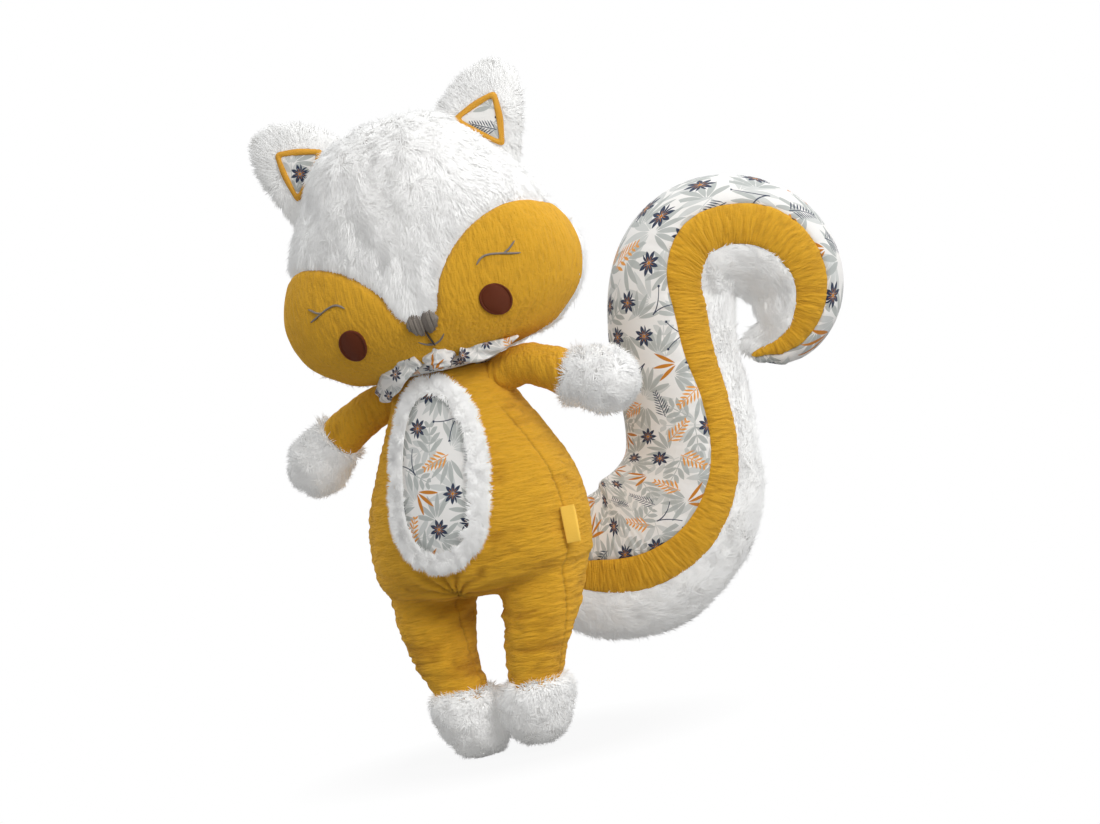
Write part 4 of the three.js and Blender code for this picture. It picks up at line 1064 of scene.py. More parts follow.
outline = closed_curve(EAR_OUTLINE, 110)
reach = np.concatenate([np.linspace(0.02, 1, 22), np.linspace(1, 0.02, 22)[1:]])[:, None]
turned_side = np.concatenate([-np.ones(22), np.ones(21)])[:, None]
for side, hand in ((1, "left"), (-1, "right")):
    raised = EAR_LIFT[side]
    flat = EAR_MIDDLE + (outline - EAR_MIDDLE) * (reach[..., None] ** 0.8)
    y = EAR_FORWARD + turned_side * ear_half(reach ** 0.8) * EAR_FLAT
    pad = from_grid(spread(side * flat[..., 0], y, flat[..., 1] + raised), around=True)
    facing = pad.normals()
    inner = Surface(on_head(pad.points - 1.5 * facing), pad.quads)
    piece = new_piece(f"ear_pad_{hand}", inner, backing)
    finished(piece, f"ear_{hand}", [f"ear_fur_{hand}"], "white_fur")
    rng = np.random.default_rng(51)
    mix = scatter(pad, 12000, rng)
    roots, face = mix(pad.points), unit(mix(facing))
    front = face[:, 1] < -0.6
    middle = (EAR_LINING.mean(axis=0) + LINING_SHIFT[side]) * [side, 1]
    out = roots[:, [0, 2]] - middle
    size = np.linalg.norm(out, axis=1)
    kept = ~(front & (size < 9.0))
    roots, face, out = roots[kept], face[kept], out[kept]
    flow = spread(out[:, 0], 0, out[:, 1] - 4) / 12
    hair = pile(f"ear_pile_{hand}", on_head(roots - 1.8 * face), face @ HEAD_TURN.T, flow @ HEAD_TURN.T, rng,
                length=6.5, lean=60, thick=0.5, clump=0.6, stray=0.3, relief=0.12)
    finished(hair, f"ear_{hand}", [], "white_fur")

    front_y = EAR_FORWARD - EAR_THICK / 2 * EAR_FLAT
    shrink = np.linspace(0.02, 1, 12)
    shift = np.array(LINING_SHIFT[side])
    rings = np.stack([in_triangle(90, s) for s in shrink]) + shift
    puff = 0.9 * (1 - shrink ** 2)[:, None] + 0 * rings[..., 0]
    lining = from_grid(spread(side * rings[..., 0], front_y - 1.5 - puff, rings[..., 1]),
                       around=True, centre=[0, 900, 0])
    lining.points = on_head(lining.points)
    piece = new_piece(f"ear_print_{hand}", lining, patch_print, uv=rings + 60 * (1 + side), weld=False)
    finished(piece, f"ear_{hand}", [f"ear_lining_{hand}"], "printed_cotton")

    rim, outer = in_triangle(210, 0.94), in_triangle(210)
    outer = outer + unit(outer - EAR_LINING.mean(axis=0)) * SATIN_WIDE
    slant = np.roll(outer, 1, axis=0)
    rim, slant = rim + shift, slant + shift
    starts = spread(side * rim[:, 0], front_y - 1.8, rim[:, 1])
    ends = spread(side * slant[:, 0], front_y - 1.3, slant[:, 1])
    outward = np.tile([0.0, -1, 0], (len(rim), 1))
    piece = stitches(f"ear_satin_{hand}", on_head(starts), on_head(ends), outward @ HEAD_TURN.T,
                     mustard_thread, width=0.55, rise=0.7)
    finished(piece, f"ear_{hand}", [f"ear_stitching_{hand}"], "mustard_thread")

# %% [markdown]
# Arms: a gauze sleeve along a bent path, and a fur mitt with a round end. The sleeve starts inside
# the body and ends inside the mitt.

# %% Arms and mitts
ARM_REACH, ARM_THICK, MITT_THICK, MITT_END = 61.0, 10.8, 16.0, 17.0
SHOULDER_SIDE, SHOULDER_Z = 23.5, 181.63
SLEEVE_SHARES = {
    "left": [[-0.12, -0.02, 0.8], [0, 0, 0.86], [0.17, 0.06, 0.88], [0.36, 0.085, 0.94], [0.58, 0, 1],
             [0.72, -0.08, 1.03]],
    "right": [[-0.12, -0.02, 0.8], [0, 0, 0.86], [0.17, 0.02, 0.9], [0.39, -0.035, 0.96], [0.61, -0.14, 1],
              [0.72, -0.2, 1.03]]}
MITT_SHARES = {"left": [[0.72, -0.08, 0.8], [0.81, -0.115, 0.88], [1, -0.165, 1]],
               "right": [[0.72, -0.2, 0.8], [0.8, -0.255, 0.88], [0.96, -0.37, 1]]}


def arm_path(shares, side, count):
    """Places and thickness shares along an arm."""
    out, up, thick = smooth_rows(shares, np.linspace(0, 1, count)).T
    x = BODY_AXIS[0] + side * (SHOULDER_SIDE + out * ARM_REACH)
    return spread(x, BODY_AXIS[1], SHOULDER_Z + up * ARM_REACH), thick


def lined(name, form, facing, depth, body, nodes, weld=True):
    """The backing under a coat of pile: the form drawn in by a depth."""
    piece = new_piece(name, Surface(form.points - depth * facing, form.quads), backing, weld=weld)
    finished(piece, body, nodes, "white_fur")


def domed(centres, wide, deep, reach, steps=9):
    """Continues a path past its last row with a round end."""
    along = unit(centres[-1:] - centres[-2:-1])
    angle = np.linspace(0, np.pi / 2, steps)[1:]
    shrink = np.maximum(np.cos(angle), 0.03)
    centres = np.concatenate([centres, centres[-1:] + reach * np.sin(angle)[:, None] * along])
    return centres, np.concatenate([wide, wide[-1] * shrink]), np.concatenate([deep, deep[-1] * shrink])


BACK = np.array([0.0, 1.0, 0.0])
for side, hand in ((1, "left"), (-1, "right")):
    centres, thick = arm_path(SLEEVE_SHARES[hand], side, 110)
    radius = thick * ARM_THICK
    sleeve = from_grid(capped(path_member(centres, radius, radius, BACK, circle(130))), around=True)
    normals = sleeve.normals()
    x, y, z = (sleeve.points - [BODY_AXIS[0], BODY_AXIS[1], SHOULDER_Z]).T
    share = np.clip((side * x - SHOULDER_SIDE) / ARM_REACH, -0.2, 1)
    along = share * ARM_REACH + 2.5 * noise(sleeve.points / 9, 61 + side)
    lengthwise = spread(along, 0, np.arctan2(y, z) * 10)
    fine = 1 - np.abs(noise(lengthwise / [1.9, 1, 9.0], 62 + side))
    broad = 1 - np.abs(noise(lengthwise / [5.0, 1, 15.0], 64 + side))
    folds = 0.5 + smoothstep(0.25, 0.0, share) + smoothstep(0.5, 0.7, share)
    lift = 0.35 * (0.6 - fine) + 0.8 * folds * (0.62 - broad)
    seam = np.exp(-(lengthwise[:, 2] / 10 - 1.2) ** 2 / 0.004)
    lift -= 0.5 * seam
    # Painted shade: darker in the crinkles' valleys and in the seam's groove.
    crease = 0.1 + 0.25 * smoothstep(0.5, 1, fine) + 0.3 * folds * smoothstep(0.6, 1, broad) + 0.7 * seam
    crease = np.clip(crease, 0, 1)
    sleeve.points += normals * lift[:, None]
    piece = new_piece(f"sleeve_{hand}", sleeve, upright_gauze, crease=crease)
    finished(piece, f"arm_{hand}", [f"arm_sleeve_{hand}", f"arm_stuffing_{hand}"], "mustard_gauze")

    centres, thick = arm_path(MITT_SHARES[hand], side, 24)
    wide = thick * MITT_THICK
    centres, wide, deep = domed(centres, wide, wide * 0.92, MITT_END)
    mitt = from_grid(capped(path_member(centres, wide, deep, BACK, circle(60))), around=True)
    facing = mitt.normals()
    lined(f"mitt_{hand}", mitt, facing, 3.6, f"arm_{hand}", [f"hand_mitt_{hand}"])
    rng = np.random.default_rng(60 + side)
    mix = scatter(mitt, 9000, rng)
    roots, face = mix(mitt.points), unit(mix(facing))
    flow = unit(roots - centres.mean(axis=0)) + 0.4 * unit(centres[-1] - centres[0]) + [0, 0, -0.2]
    hair = pile(f"mitt_pile_{hand}", roots - 3.4 * face, face, flow, rng, length=7.0, lean=50, thick=0.55,
                clump=0.75, stray=0.4, relief=0.25, grain=(4.0, 4.0, 4.0))
    finished(hair, f"arm_{hand}", [], "white_fur")

# %% [markdown]
# Feet are fur too: soft and round, with a sole that no tuft passes. The left one stands a little
# further out, higher and flatter, as in the photograph.

# %% Feet
for side, hand in ((1, "left"), (-1, "right")):
    rows = leg_rows(side, FOOT_SHARES, FOOT_WIDE, FOOT_LONG, 40)
    if side > 0:
        rows = rows * [1, 1, 0.9, 1, 1] + [1.8, 0, 3.4, 0, 0]
    else:
        rows[:, 0] -= 1.0
    foot = from_grid(capped(level_member(rows, 70)), around=True)
    facing = foot.normals()
    lined(f"foot_backing_{hand}", foot, facing, 3.2, f"leg_{hand}", [f"foot_{hand}"])
    rng = np.random.default_rng(70 + side)
    mix = scatter(foot, 12000, rng)
    roots, face = mix(foot.points), unit(mix(facing))
    axis = np.array([*rows[0, :2], 16.0])
    flow = unit((roots - axis) * [1, 1, 0.5]) + [0, -0.1, -0.75]
    hair = pile(f"foot_pile_{hand}", roots - 2.6 * face, face, flow, rng, length=7.0, lean=54, thick=0.55,
                clump=0.9, stray=0.4, relief=0.22, grain=(4.0, 4.0, 6.0), floor=0.2)
    finished(hair, f"leg_{hand}", [], "white_fur")

# %% [markdown]
# The tail is four panels on one bent tube: print on the outer side, white pile on the inner side,
# and a gauze strip between them in front and behind. Each panel's edges are angles of the section
# that change along the tail, so its grid is stretched between them.

# %% Tail
TAIL_WIDE, TAIL_DEEP, TAIL_HEIGHT, TAIL_REACH, TAIL_BACK = 42.0, 28.0, 175.0, 188.0, 17.0
TAIL_ROOT = BODY_AXIS + [0, 45.425, 88.3]
tail_turn = math.radians(26)
tail_side = np.array([math.cos(tail_turn), math.sin(tail_turn), 0])
tail_deep = np.array([-math.sin(tail_turn), math.cos(tail_turn), 0])
TAIL_SHARES = np.array([
    [0, 0, 0.357, 0.536, 0, 0.46, 0.71], [0.07, -0.02, 0.58, 0.47, 0.42, 0.46, 0.71],
    [0.15, -0.045, 0.79, 0.68, 0.85, 0.46, 0.71], [0.285, -0.05, 0.96, 0.93, 1, 0.5, 0.74],
    [0.415, 0.03, 0.97, 1, 1, 0.58, 0.81], [0.495, 0.18, 0.82, 1, 1, 0.65, 0.88],
    [0.508, 0.35, 0.74, 1, 1, 0.66, 0.895], [0.502, 0.5, 0.74, 1, 1, 0.6, 0.87],
    [0.515, 0.625, 0.74, 1, 1, 0.55, 0.84], [0.54, 0.742, 0.72, 1, 1, 0.46, 0.79],
    [0.622, 0.832, 0.72, 1, 1, 0.34, 0.71], [0.733, 0.842, 0.7, 0.97, 1, 0.28, 0.66],
    [0.838, 0.785, 0.67, 0.93, 1, 0.22, 0.63], [0.898, 0.65, 0.58, 0.8, 1, 0.2, 0.6],
    [0.845, 0.51, 0.42, 0.57, 1, 0.2, 0.57], [0.75, 0.475, 0.18, 0.28, 1, 0.2, 0.55]])
TAIL_ROWS = 900
out, up, wide, deep, back, print_edge, fur_edge = smooth_rows(TAIL_SHARES, np.linspace(0, 1, TAIL_ROWS)).T
centres = (TAIL_ROOT + np.outer(out * TAIL_REACH, tail_side) + np.outer(up * TAIL_HEIGHT, upwards)
           + np.outer(back * TAIL_BACK, tail_deep))
wide, deep = wide * TAIL_WIDE, deep * TAIL_DEEP
centres, wide, deep = domed(centres, wide, deep, 6.5, 8)
padding = len(centres) - len(print_edge)
print_angle = np.arccos(2 * np.pad(print_edge, (0, padding), mode="edge") - 1)
fur_angle = np.arccos(2 * np.pad(fur_edge, (0, padding), mode="edge") - 1)
length = reached(centres)
print("tail length", length[-1])


def tail_panel(start, end, columns, every=1):
    """One panel's grid between two angles of the section, and its places on the flat cloth. A mean
    over nearby rows rounds the hollow side of the bends, where sections would cross."""
    share = np.linspace(0, 1, columns)
    angle = start[:, None] + (end - start)[:, None] * share
    along, _, through = path_frames(centres, np.tile(tail_deep, (len(centres), 1)))
    across = -np.cross(along, through)
    x, y = rounded(angle, wide[:, None], deep[:, None])
    grid = centres[:, None] + x[..., None] * across[:, None] + y[..., None] * through[:, None]
    reach = 14
    for _ in range(3):
        before, after = np.repeat(grid[:1], reach + 1, axis=0), np.repeat(grid[-1:], reach, axis=0)
        total = np.cumsum(np.concatenate([before, grid, after]), axis=0)
        mean = (total[2 * reach + 1:] - total[:-2 * reach - 1]) / (2 * reach + 1)
        grid[reach:-40] = mean[reach:-40]
    grid = grid[::every]
    steps = np.linalg.norm(np.diff(grid, axis=1), axis=2)
    level = np.concatenate([np.zeros((len(grid), 1)), np.cumsum(steps, axis=1)], axis=1)
    level -= level[:, -1:] / 2
    return grid, spread(level, length[::every, None]), share


def sewn(share, width, depth, reach):
    """How far a panel sinks at its two sewn edges: an exponential of the distance to the nearer."""
    edge = np.minimum(share, 1 - share)[None, :] * width[:, None]
    return depth * np.exp(-edge / reach), edge


whole = 2 * np.pi
for name, start, end, columns, every, cloth, slot in (
        ("print_panel", print_angle, whole - print_angle, 150, 2, tail_print, "printed_cotton"),
        ("strip_back", fur_angle, print_angle, 44, 1, strip_gauze, "mustard_gauze"),
        ("strip_front", whole - print_angle, whole - fur_angle, 44, 1, strip_gauze, "mustard_gauze")):
    grid, flat, share = tail_panel(start, end, columns, every)
    panel = from_grid(grid)
    panel.face_along((grid - centres[::every, None]).reshape(-1, 3))
    normals = panel.normals()
    width = flat[:, -1, 0] - flat[:, 0, 0]
    sink, edge = sewn(share, width, 1.6, 1.3)
    u, v = flat[..., 0], flat[..., 1]
    row = v + 2.2 * noise(spread(u / 9, v / 9, 0), 83)
    puckers = noise(spread(0, row / 2.4, 7.5), 84) * np.exp(-edge / 9)
    if cloth is strip_gauze:
        fine = 1 - np.abs(noise(spread(u / 11, row / 1.7, 0), 85))
        lift = 0.6 * (0.6 - fine) + 0.45 * puckers
        # Painted shade: darker in the crinkles' valleys and in the puckers' hollows.
        crease = np.clip(0.12 + 0.35 * smoothstep(0.5, 1, fine) - 0.2 * puckers, 0, 1)
    else:
        lift = 0.55 * puckers
        crease = 0 * u
    panel.points += normals * (lift - sink).reshape(-1, 1)
    piece = new_piece(f"tail_{name}_cloth", panel, cloth, uv=spread(u + 33, v), weld=False, crease=crease)
    nodes = [f"tail_{name}", "tail_stuffing"] if cloth is tail_print else [f"tail_{name}"]
    finished(piece, "tail", nodes, slot)

grid, flat, share = tail_panel(-fur_angle, fur_angle, 60, 3)
panel = from_grid(grid)
panel.face_along((grid - centres[::3, None]).reshape(-1, 3))
facing = panel.normals()
edge = (np.minimum(share, 1 - share)[None, :] * (flat[:, -1, 0] - flat[:, 0, 0])[:, None]).ravel()
plump = 2.0 + 2.6 * noise(panel.points / 17, 89)
panel.points += facing * (plump * smoothstep(0, 12, edge))[:, None]
lined("tail_fur_backing", panel, facing, 2.6, "tail", ["tail_fur_panel"], weld=False)
rng = np.random.default_rng(88)
mix = scatter(panel, 48000, rng)
roots, face = mix(panel.points), unit(mix(facing))
flow = np.gradient(grid, axis=0).reshape(-1, 3)
flow = unit(mix(unit(flow)))
length_here = np.minimum(8.5, 3.2 + 0.8 * mix(edge[:, None]))
hair = pile("tail_pile", roots - 2.4 * face, face, flow, rng, length=length_here, lean=60, thick=0.55,
            clump=0.55, relief=0.2, grain=(5.0, 5.0, 8.0))
finished(hair, "tail", [], "white_fur")

# %% [markdown]
# The tummy patch is an oval of print in a frame of short white pile. It lies on the body's front, so
# each of its points takes its depth from the torso's own rule.

# %% Tummy patch
TUMMY_X, TUMMY_Z, TUMMY_HIGH, TUMMY_WIDE = 1.4, 142.5, 46.5, 26.0
TUMMY_TAPER, TUMMY_FRAME, TUMMY_SQUARE = 0.14, 7.5, 2.3


def oval(angle, inward):
    """The patch's outline, narrower towards its top, drawn in by a distance."""
    x, z = rounded(angle, TUMMY_WIDE - inward, TUMMY_HIGH - inward, TUMMY_SQUARE)
    return TUMMY_X + x * (1 - TUMMY_TAPER * z / TUMMY_HIGH), TUMMY_Z + z


def on_tummy(x, z, lift):
    """Points at a height above the torso's front."""
    step = 0.5
    place = torso_front(x, z)
    normals = unit(np.cross(torso_front(x + step, z) - place, torso_front(x, z + step) - place))
    return place + normals * np.asarray(lift)[..., None], normals


def area_of(surface):
    """The surface's area in square millimetres."""
    return np.linalg.norm(surface.facings(), axis=1).sum() / 2


# Flat sizes in metres: the patch's visible ovals, laid flat, with the edges that are turned under.
# A squared oval fills this share of the rectangle round it.
PRINT_CUT, FRAME_CUT = np.array([0.044, 0.084]), np.array([0.058, 0.098])
FRAME_OPENING = np.array([0.038, 0.079])
OVAL_SHARE = math.gamma(1 + 1 / TUMMY_SQUARE) ** 2 / math.gamma(1 + 2 / TUMMY_SQUARE)
angle = circle(120)
inward = np.linspace(TUMMY_FRAME - 2, TUMMY_WIDE, 40)[:, None]
x, z = oval(angle, inward)
rim = smoothstep(TUMMY_FRAME + 4, TUMMY_FRAME - 2, inward)
lift = 2.4 - 1.0 * rim + 0.5 * noise(spread(x / 13, 0, z / 22), 91)
places, _ = on_tummy(x, z, lift)
patch = from_grid(places, around=True, centre=BODY_AXIS + [0, 0, TUMMY_Z])
piece = new_piece("tummy_print", patch, patch_print, uv=spread(x + 45, z), weld=False)
finished(piece, "torso", ["tummy_print_panel"], "printed_cotton")
float(OVAL_SHARE * PRINT_CUT.prod())
print("tummy print: area of the drawn piece, in square mm", round(area_of(patch)))

inward = np.linspace(0.4, TUMMY_FRAME, 8)[:, None]
x, z = oval(angle, inward)
places, normals = on_tummy(x, z, 1.9 - 2.4 * smoothstep(2.5, 0, inward) + 0 * x)
ring = from_grid(places, around=True, centre=BODY_AXIS + [0, 0, TUMMY_Z])
piece = new_piece("tummy_frame", ring, backing, weld=False)
finished(piece, "torso", ["tummy_fur_frame"], "white_fur")
float(OVAL_SHARE * (FRAME_CUT.prod() - FRAME_OPENING.prod()))
print("tummy frame: area of the drawn piece, in square mm", round(area_of(ring)))
rng = np.random.default_rng(92)
mix = scatter(ring, 15000, rng)
middle = BODY_AXIS + [0, -40, TUMMY_Z]
outward = ring.points - middle
turned = np.clip((0.66 * TUMMY_FRAME - inward) / 1.5, -0.8, 1) + 0 * x
flow = mix(unit(outward * [1, 0, 0.55]) * turned.reshape(-1, 1)) + [0, 0, -0.3]
hair = pile("tummy_pile", mix(ring.points), mix(normals.reshape(-1, 3)), flow, rng, length=4.6, lean=55,
            thick=0.42, clump=0.8, stray=0.3, relief=0.3, grain=(3.0, 3.0, 4.0))
finished(hair, "torso", [], "white_fur")

# %% [markdown]
# The face is embroidered. A satin line is many short threads across a curve; the nose and the cheek
# patches are filled with threads from edge to edge.

# %% Face
SATIN_PITCH, SATIN_SLANT = 0.24, 0.5


def on_face(x, z, lift):
    """Points above the face, in the toy's own directions, and which way the face looks there."""
    place = face_at(x, z)
    normals = unit(np.cross(face_at(x + 0.4, z) - place, face_at(x, z + 0.4) - place))
    return on_head(place + normals * lift), normals @ HEAD_TURN.T


def satin_line(name, curve, thick, material, lift=1.25):
    """A stitched line along a curve of the face: threads across it, each a little slanted."""
    dense = smooth_rows(curve, np.linspace(0, 1, 400))
    reach = reached(dense)
    at = np.arange(0, reach[-1], SATIN_PITCH)
    x, z = np.interp(at, reach, dense[:, 0]), np.interp(at, reach, dense[:, 1])
    along = unit(spread(np.gradient(x), np.gradient(z)))
    across = spread(-along[:, 1], along[:, 0]) * thick / 2
    end = np.minimum(np.minimum(at, reach[-1] - at) / 1.2, 1)[:, None] * 0.6 + 0.4
    offset = across * end + along * SATIN_SLANT
    starts, outward = on_face(x - offset[:, 0], z - offset[:, 1], lift)
    ends, _ = on_face(x + offset[:, 0], z + offset[:, 1], lift)
    return stitches(name, starts, ends, outward, material, width=0.34, rise=0.45)


LASH_WIDE = 20.0
EYE = np.array([0.6 * HEAD_WIDE - 1.8, -0.328 * HEAD_HIGH - 2.7])
LASH = np.array([[-0.5, -0.03], [-0.38, 0.07], [-0.25, 0.11], [-0.08, 0.095], [0.1, 0.05], [0.3, -0.01],
                 [0.5, -0.065]]) * LASH_WIDE
OUTER_LASH = np.array([[0.15, 0.04], [0.3, 0.11], [0.45, 0.235]]) * LASH_WIDE
BLUSH = np.array([0.494 * HEAD_WIDE - 1.0, -0.656 * HEAD_HIGH - 0.6])
BLUSH_RADIUS = 7.1
for side, hand in ((1, "left"), (-1, "right")):
    line = satin_line(f"eye_line_{hand}", (EYE + LASH) * [side, 1], 0.85, pale_thread)
    finished(line, "head", [f"eye_{hand}"], "grey_thread")
    line = satin_line(f"eye_lash_{hand}", (EYE + OUTER_LASH) * [side, 1], 0.75, pale_thread)
    finished(line, "head", [], "grey_thread")
    level = np.arange(-BLUSH_RADIUS + 0.15, BLUSH_RADIUS, 0.3)
    half = np.sqrt(BLUSH_RADIUS ** 2 - level ** 2) * (1 - 0.015 * np.random.default_rng(5).random(len(level)))
    x = side * BLUSH[0]
    starts, outward = on_face(x - half, BLUSH[1] + level, 1.3)
    ends, _ = on_face(x + half, BLUSH[1] + level, 1.3)
    patch = stitches(f"blush_satin_{hand}", starts, ends, outward, brown_thread, width=0.42, rise=0.9)
    finished(patch, "head", [f"blush_{hand}"], "brown_thread")
    turn = circle(120)
    starts, outward = on_face(x + 6.2 * np.cos(turn), BLUSH[1] + 6.2 * np.sin(turn), 1.6)
    ends, _ = on_face(x + 7.3 * np.cos(turn + 0.05), BLUSH[1] + 7.3 * np.sin(turn + 0.05), 1.2)
    rim = stitches(f"blush_rim_{hand}", starts, ends, outward, brown_thread, width=0.46, rise=0.55)
    finished(rim, "head", [], "brown_thread")

# The nose's threads run up and down in two lobes; some lie deeper, and these take a darker copy of the thread
# as painted shade.
NOSE_WIDE, NOSE_HIGH, NOSE_X, NOSE_Z = 16.0, 9.5, 1.0, -0.656 * HEAD_HIGH - 1.5
x = np.linspace(-0.49, 0.49, 62)
top = 0.3 + 0.26 * np.sin(np.pi * np.clip(np.abs(x) / 0.5, 0, 1)) ** 0.8 - 0.3 * (np.abs(x) / 0.5) ** 6
low = -0.5 * np.cos(np.pi / 2 * (np.abs(x) / 0.5) ** 1.6) + 0.1 * np.exp(-(x / 0.05) ** 2)
ragged = np.random.default_rng(6).normal(size=(2, len(x))) * 0.035
starts, outward = on_face(NOSE_X + x * NOSE_WIDE, NOSE_Z + (low + ragged[0]) * NOSE_HIGH, 1.2)
ends, _ = on_face(NOSE_X + (x + 0.02) * NOSE_WIDE, NOSE_Z + (top + ragged[1]) * NOSE_HIGH, 1.2)
lobe = np.abs(np.sin(2 * np.pi * x))[:, None] ** 0.6 * 1.5 - 0.3
starts, ends = starts + outward * lobe, ends + outward * lobe
deeper = np.repeat(np.random.default_rng(8).random(21) < 0.4, 3)[:len(x)]
for name, kept, thread, rise, nodes in (("nose_satin", ~deeper, pale_thread, 1.4, ["nose"]),
                                        ("nose_shade", deeper, grey_thread, 1.0, [])):
    nose = stitches(name, starts[kept], ends[kept], outward[kept], thread, width=0.44, rise=rise)
    finished(nose, "head", nodes, "grey_thread")
mouth_z = -0.83 * HEAD_HIGH - 1.0
stem = np.array([[NOSE_X - 0.2, NOSE_Z - 1.0], [NOSE_X, NOSE_Z - 4.0], [NOSE_X + 0.6, mouth_z]])
smile = np.array([[-0.5, 0.225], [-0.3, 0.081], [-0.1, 0.009], [0.1, 0.009], [0.3, 0.081], [0.5, 0.225]]) * 13
line = satin_line("mouth_stem", stem, 0.7, dark_thread, lift=1.5)
finished(line, "head", ["mouth_embroidery"], "grey_thread")
line = satin_line("mouth_smile", smile + [NOSE_X + 0.6, mouth_z], 0.75, pale_thread, lift=0.9)
finished(line, "head", [], "grey_thread")

# %% [markdown]
# The scarf is printed cotton, rolled round the neck, knotted in front and left with two leaf-shaped
# ends. Its folds follow the roll: ridges that wind slowly round the band, and that run along the
# ends from the knot.

# %% Scarf and neck
neck_radius = float(neck_high[2] - neck_low[2]) / 2 / MM


def ball(upright, around):
    """A ball of radius 1 from angles up and angles round."""
    return spread(np.cos(upright) * np.cos(around), np.cos(upright) * np.sin(around), np.sin(upright))


upright = np.linspace(-np.pi / 2, np.pi / 2, 24)[:, None]
cover = from_grid(NECK + ball(upright, circle(48)) * neck_radius, around=True)
piece = new_piece("neck_cover", cover, gauze)
finished(piece, "neck", ["neck_stuffing"], "filling")

SCARF_Z, SCARF_RADIUS, SCARF_WIDE, SCARF_THICK = 197.3, 24.0, 5.2, 5.0
turn = np.linspace(0, 2 * np.pi, 240)[:, None]
around = np.linspace(0, 2 * np.pi, 60)
wound = spread(2.2 * np.cos(turn), 2.2 * np.sin(turn), np.cos(around + 2 * turn) * 1.6)
fold = 1.0 - np.abs(noise(wound, 71))
swell = 0.4 + 1.1 * (fold - 0.75)
out = SCARF_RADIUS + (SCARF_WIDE + swell) * np.cos(around)
grid = spread(out * np.sin(turn), -out * np.cos(turn), SCARF_Z + (SCARF_THICK + swell) * np.sin(around))
flat = spread(turn * SCARF_RADIUS, around * 9)
band = from_grid(BODY_AXIS + grid)
from_core = grid - spread(np.sin(turn), -np.cos(turn), 0) * SCARF_RADIUS
band.face_along((from_core * [1, 1, 0]).reshape(-1, 3))
piece = new_piece("scarf_roll", band, scarf_print, uv=flat, weld=False)
finished(piece, "torso", ["scarf_band"], "printed_cotton")

knot_turn = math.radians(25)
KNOT_REACH, KNOT_Z, KNOT_SIZE = 32.5, 198.7, [8.2, 6.3, 7.6]
KNOT = BODY_AXIS + [KNOT_REACH * math.sin(knot_turn), -KNOT_REACH * math.cos(knot_turn), KNOT_Z]
upright = np.linspace(-np.pi / 2, np.pi / 2, 50)[:, None]
around = np.linspace(0, 2 * np.pi, 70)
round_knot = ball(upright, around)
folds = 1 - np.abs(noise(round_knot * [1.2, 1.2, 3.4], 75))
grid = round_knot * (0.96 + 0.24 * (folds - 0.6))[..., None] * KNOT_SIZE
turned = np.array(Matrix.Rotation(knot_turn, 3, "Z"))
flat = spread(around * 7, upright * 6)
piece = new_piece("scarf_knot_cloth", from_grid(KNOT + grid @ turned.T), scarf_print, uv=flat + 90)
finished(piece, "torso", ["scarf_knot"], "printed_cotton")

SCARF_END, SCARF_END_WIDE, SCARF_END_THICK, SCARF_ROOT = 46.0, 8.0, 1.8, 3.2
SCARF_ENDS = {
    "right": [[0.76, 7.7, 0, 0.4], [0.76, -8, -0.07, 0.75], [0.75, -24, -0.14, 1], [0.74, -42, -0.22, 0.92],
              [0.76, -58, -0.29, 0.35]],
    "left": [[0.77, 41.8, 0, 0.5], [0.79, 53, -0.03, 0.68], [0.87, 64, -0.03, 0.5], [1.0, 71, 0, 0.27],
             [1.1, 74, 0.03, 0.1]]}
for hand, shares in SCARF_ENDS.items():
    out, degrees, drop, wide = smooth_rows(shares, np.linspace(0, 1, 90)).T
    heading = np.radians(degrees)
    outward = spread(np.sin(heading), -np.cos(heading), 0)
    centres = BODY_AXIS + out[:, None] * SCARF_END * outward + np.outer(KNOT_Z + drop * SCARF_END, upwards)
    share = np.linspace(0, 1, 90)
    deep = SCARF_END_THICK + (SCARF_ROOT - SCARF_END_THICK) * smoothstep(0.15, 0, share)
    wide = wide * SCARF_END_WIDE
    centres, wide, deep = domed(centres, wide, deep, 2.0, 5)
    outward = np.concatenate([outward, np.repeat(outward[-1:], 4, axis=0)])
    around = np.linspace(0, 2 * np.pi, 60)
    leaf_grid = path_member(centres, wide, deep, outward, around)
    u = np.cos(around)[None, :] * wide[:, None]
    v = reached(centres)[:, None] + 0 * u
    crumple = noise(spread(u / 2.6 + v / 14, v / 11, 0), 77)
    _, _, through = path_frames(centres, outward)
    leaf_grid += through[:, None] * (1.8 * crumple * smoothstep(0, 6, v))[..., None]
    flat = spread(u + 20 * (hand == "left"), v + 0.4 * np.sin(around))
    closed = capped(leaf_grid)
    flat = np.concatenate([flat[:1], flat, flat[-1:]])
    tip = from_grid(closed)
    piece = new_piece(f"scarf_leaf_{hand}", tip, scarf_print, uv=flat)
    finished(piece, f"scarf_end_{hand}", [f"scarf_end_{hand}"], "printed_cotton")
    print(hand, "leaf: area of one side as drawn, in square mm", round(area_of(tip) / 2))

# %% [markdown]
# The label is a strip of tape, folded in the middle, with both ends caught in the left side seam.
# Its path runs out from the seam, turns round the fold and runs back.

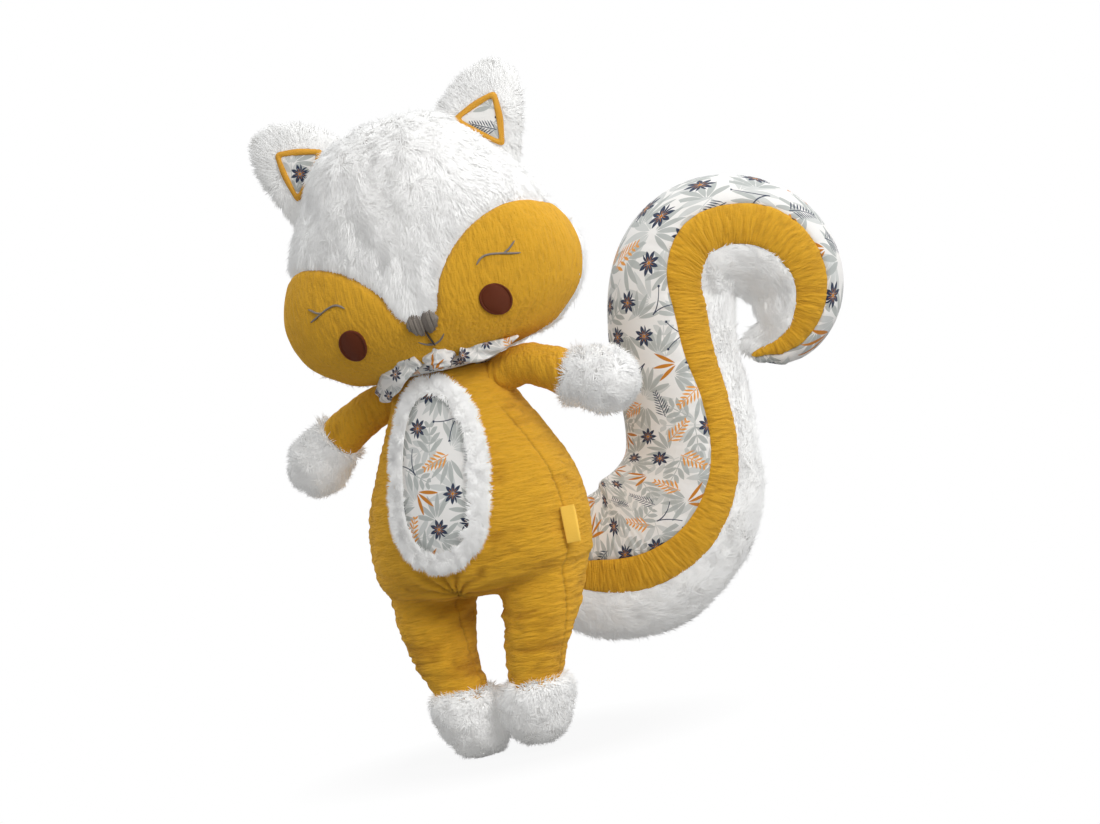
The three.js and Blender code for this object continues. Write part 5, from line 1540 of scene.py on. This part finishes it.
# %% Side label
LABEL_HIGH, LABEL_WIDE, LABEL_THICK, TAPE = 18.0, 7.0, 1.6, 0.6
label_turn = Matrix.Rotation(math.radians(12), 3, "Z")
bend = (LABEL_THICK - TAPE) / 2
quarter = np.pi / 2
turn = np.concatenate([np.full(12, -quarter), np.linspace(-quarter, quarter, 11)[1:-1], np.full(12, quarter)])
reach = np.concatenate([np.linspace(0, 1, 12), np.ones(9), np.linspace(1, 0, 12)]) * (LABEL_WIDE - bend)
outward = spread(np.cos(turn), np.sin(turn), 0)
centres = spread(reach, 0, 0) + bend * outward
high, thin = np.full(len(centres), LABEL_HIGH / 2), np.full(len(centres), TAPE / 2)
grid = path_member(centres, high, thin, outward, np.linspace(0, 2 * np.pi, 60))
grid[..., 1] += 0.5 * np.sin(grid[..., 2] / 4.0) * grid[..., 0] / LABEL_WIDE - 1.6
tab = from_grid(capped(grid @ np.array(label_turn).T + LABEL_ROOT))
piece = new_piece("label_tab", tab, thread_cloth("label tape", (0.98, 0.6, 0.09), (0.9, 0.5, 0.06)))
finished(piece, "side_label", ["side_label"], "mustard_gauze")
print("label: area of one side as drawn, in square mm", round(area_of(tab) / 2))

# %% [markdown]
# The toy was photographed in a white tent. Its edges are brighter than its middle, because most
# light comes from the white wall behind it, and its undersides are dark. So the sky's strength is
# a sum: a little from everywhere, more from behind, from above and from the right. The background is
# plain white for the camera alone, and the floor fades into it.

# %% Light and floor


def added(tree, kind, *sources, operation=None, **values):
    """A new node whose first inputs are linked to the sources and whose named inputs are set."""
    node = tree.nodes.new(kind)
    if operation:
        node.operation = operation
    for place, source in enumerate(sources):
        tree.links.new(source, node.inputs[place])
    for name, value in values.items():
        node.inputs[name].default_value = value
    return node


world = bpy.data.worlds.new("studio")
bpy.context.scene.world = world
world.use_nodes = True
sky = world.node_tree
sky.nodes.clear()
seen = added(sky, "ShaderNodeBackground", Color=(1, 1, 1, 1), Strength=1.0)
felt = added(sky, "ShaderNodeBackground", Color=(0.97, 0.985, 1, 1))
direction = added(sky, "ShaderNodeTexCoord").outputs["Generated"]


def towards(way):
    """How much a direction of the sky points one way, from -1 to 1."""
    node = added(sky, "ShaderNodeVectorMath", direction, operation="DOT_PRODUCT")
    node.inputs[1].default_value = tuple(way)
    return Field(sky, node.outputs["Value"])


strength = towards(-backwards) * 0.46 + towards(upwards) * 0.4 + towards(sideways) * 0.26 + 0.84
sky.links.new(strength.limited(0.15, 1.6).socket, felt.inputs["Strength"])
path = added(sky, "ShaderNodeLightPath")
direct = added(sky, "ShaderNodeMath", path.outputs["Is Camera Ray"], path.outputs["Is Transmission Ray"],
               operation="MAXIMUM")
choice = added(sky, "ShaderNodeMixShader", direct.outputs[0], felt.outputs[0], seen.outputs[0])
added(sky, "ShaderNodeOutputWorld", choice.outputs[0])

FLOOR_REACH, FADE_START, FADE_REACH = 3000.0, 60.0, 60.0
floor_cloth = Cloth("studio floor", (0.3, 0.3, 0.3), 0.9)
tree = floor_cloth.tree
glow = added(tree, "ShaderNodeEmission", Color=(1, 1, 1, 1))
x, y, _ = floor_cloth.places("Object")
x, y = x - float(BODY_AXIS[0]), y - float(BODY_AXIS[1])
away = ((x * x + y * y).math("SQRT") - FADE_START).above(0.0, FADE_REACH) * 0.08 + 0.92
share = away * Field(tree, added(tree, "ShaderNodeLightPath").outputs["Is Camera Ray"])
blend = added(tree, "ShaderNodeMixShader", share.socket, floor_cloth.shader.outputs[0], glow.outputs[0])
tree.links.new(blend.outputs[0], tree.nodes["Material Output"].inputs[0])
floor_corners = np.array([[[-1, -1, 0], [1, -1, 0]], [[-1, 1, 0], [1, 1, 0]]]) * FLOOR_REACH
floor = new_piece("floor", from_grid(floor_corners, centre=[0, 0, -1]), floor_cloth.material)


def softbox(name, place, size, power):
    """A square area light that faces the toy's middle."""
    light = bpy.data.lights.new(name, "AREA")
    light.size = size * MM
    light.energy = power
    lamp = bpy.data.objects.new(name, light)
    bpy.context.scene.collection.objects.link(lamp)
    lamp.location = Vector(place * MM)
    lamp.rotation_euler = (Vector(aim * MM) - lamp.location).to_track_quat("-Z", "Y").to_euler()


softbox("key", aim + 700 * sideways + 1100 * backwards + 700 * upwards, 600, 12)
settings = bpy.context.scene
settings.view_settings.view_transform = "Standard"
settings.render.film_transparent = False
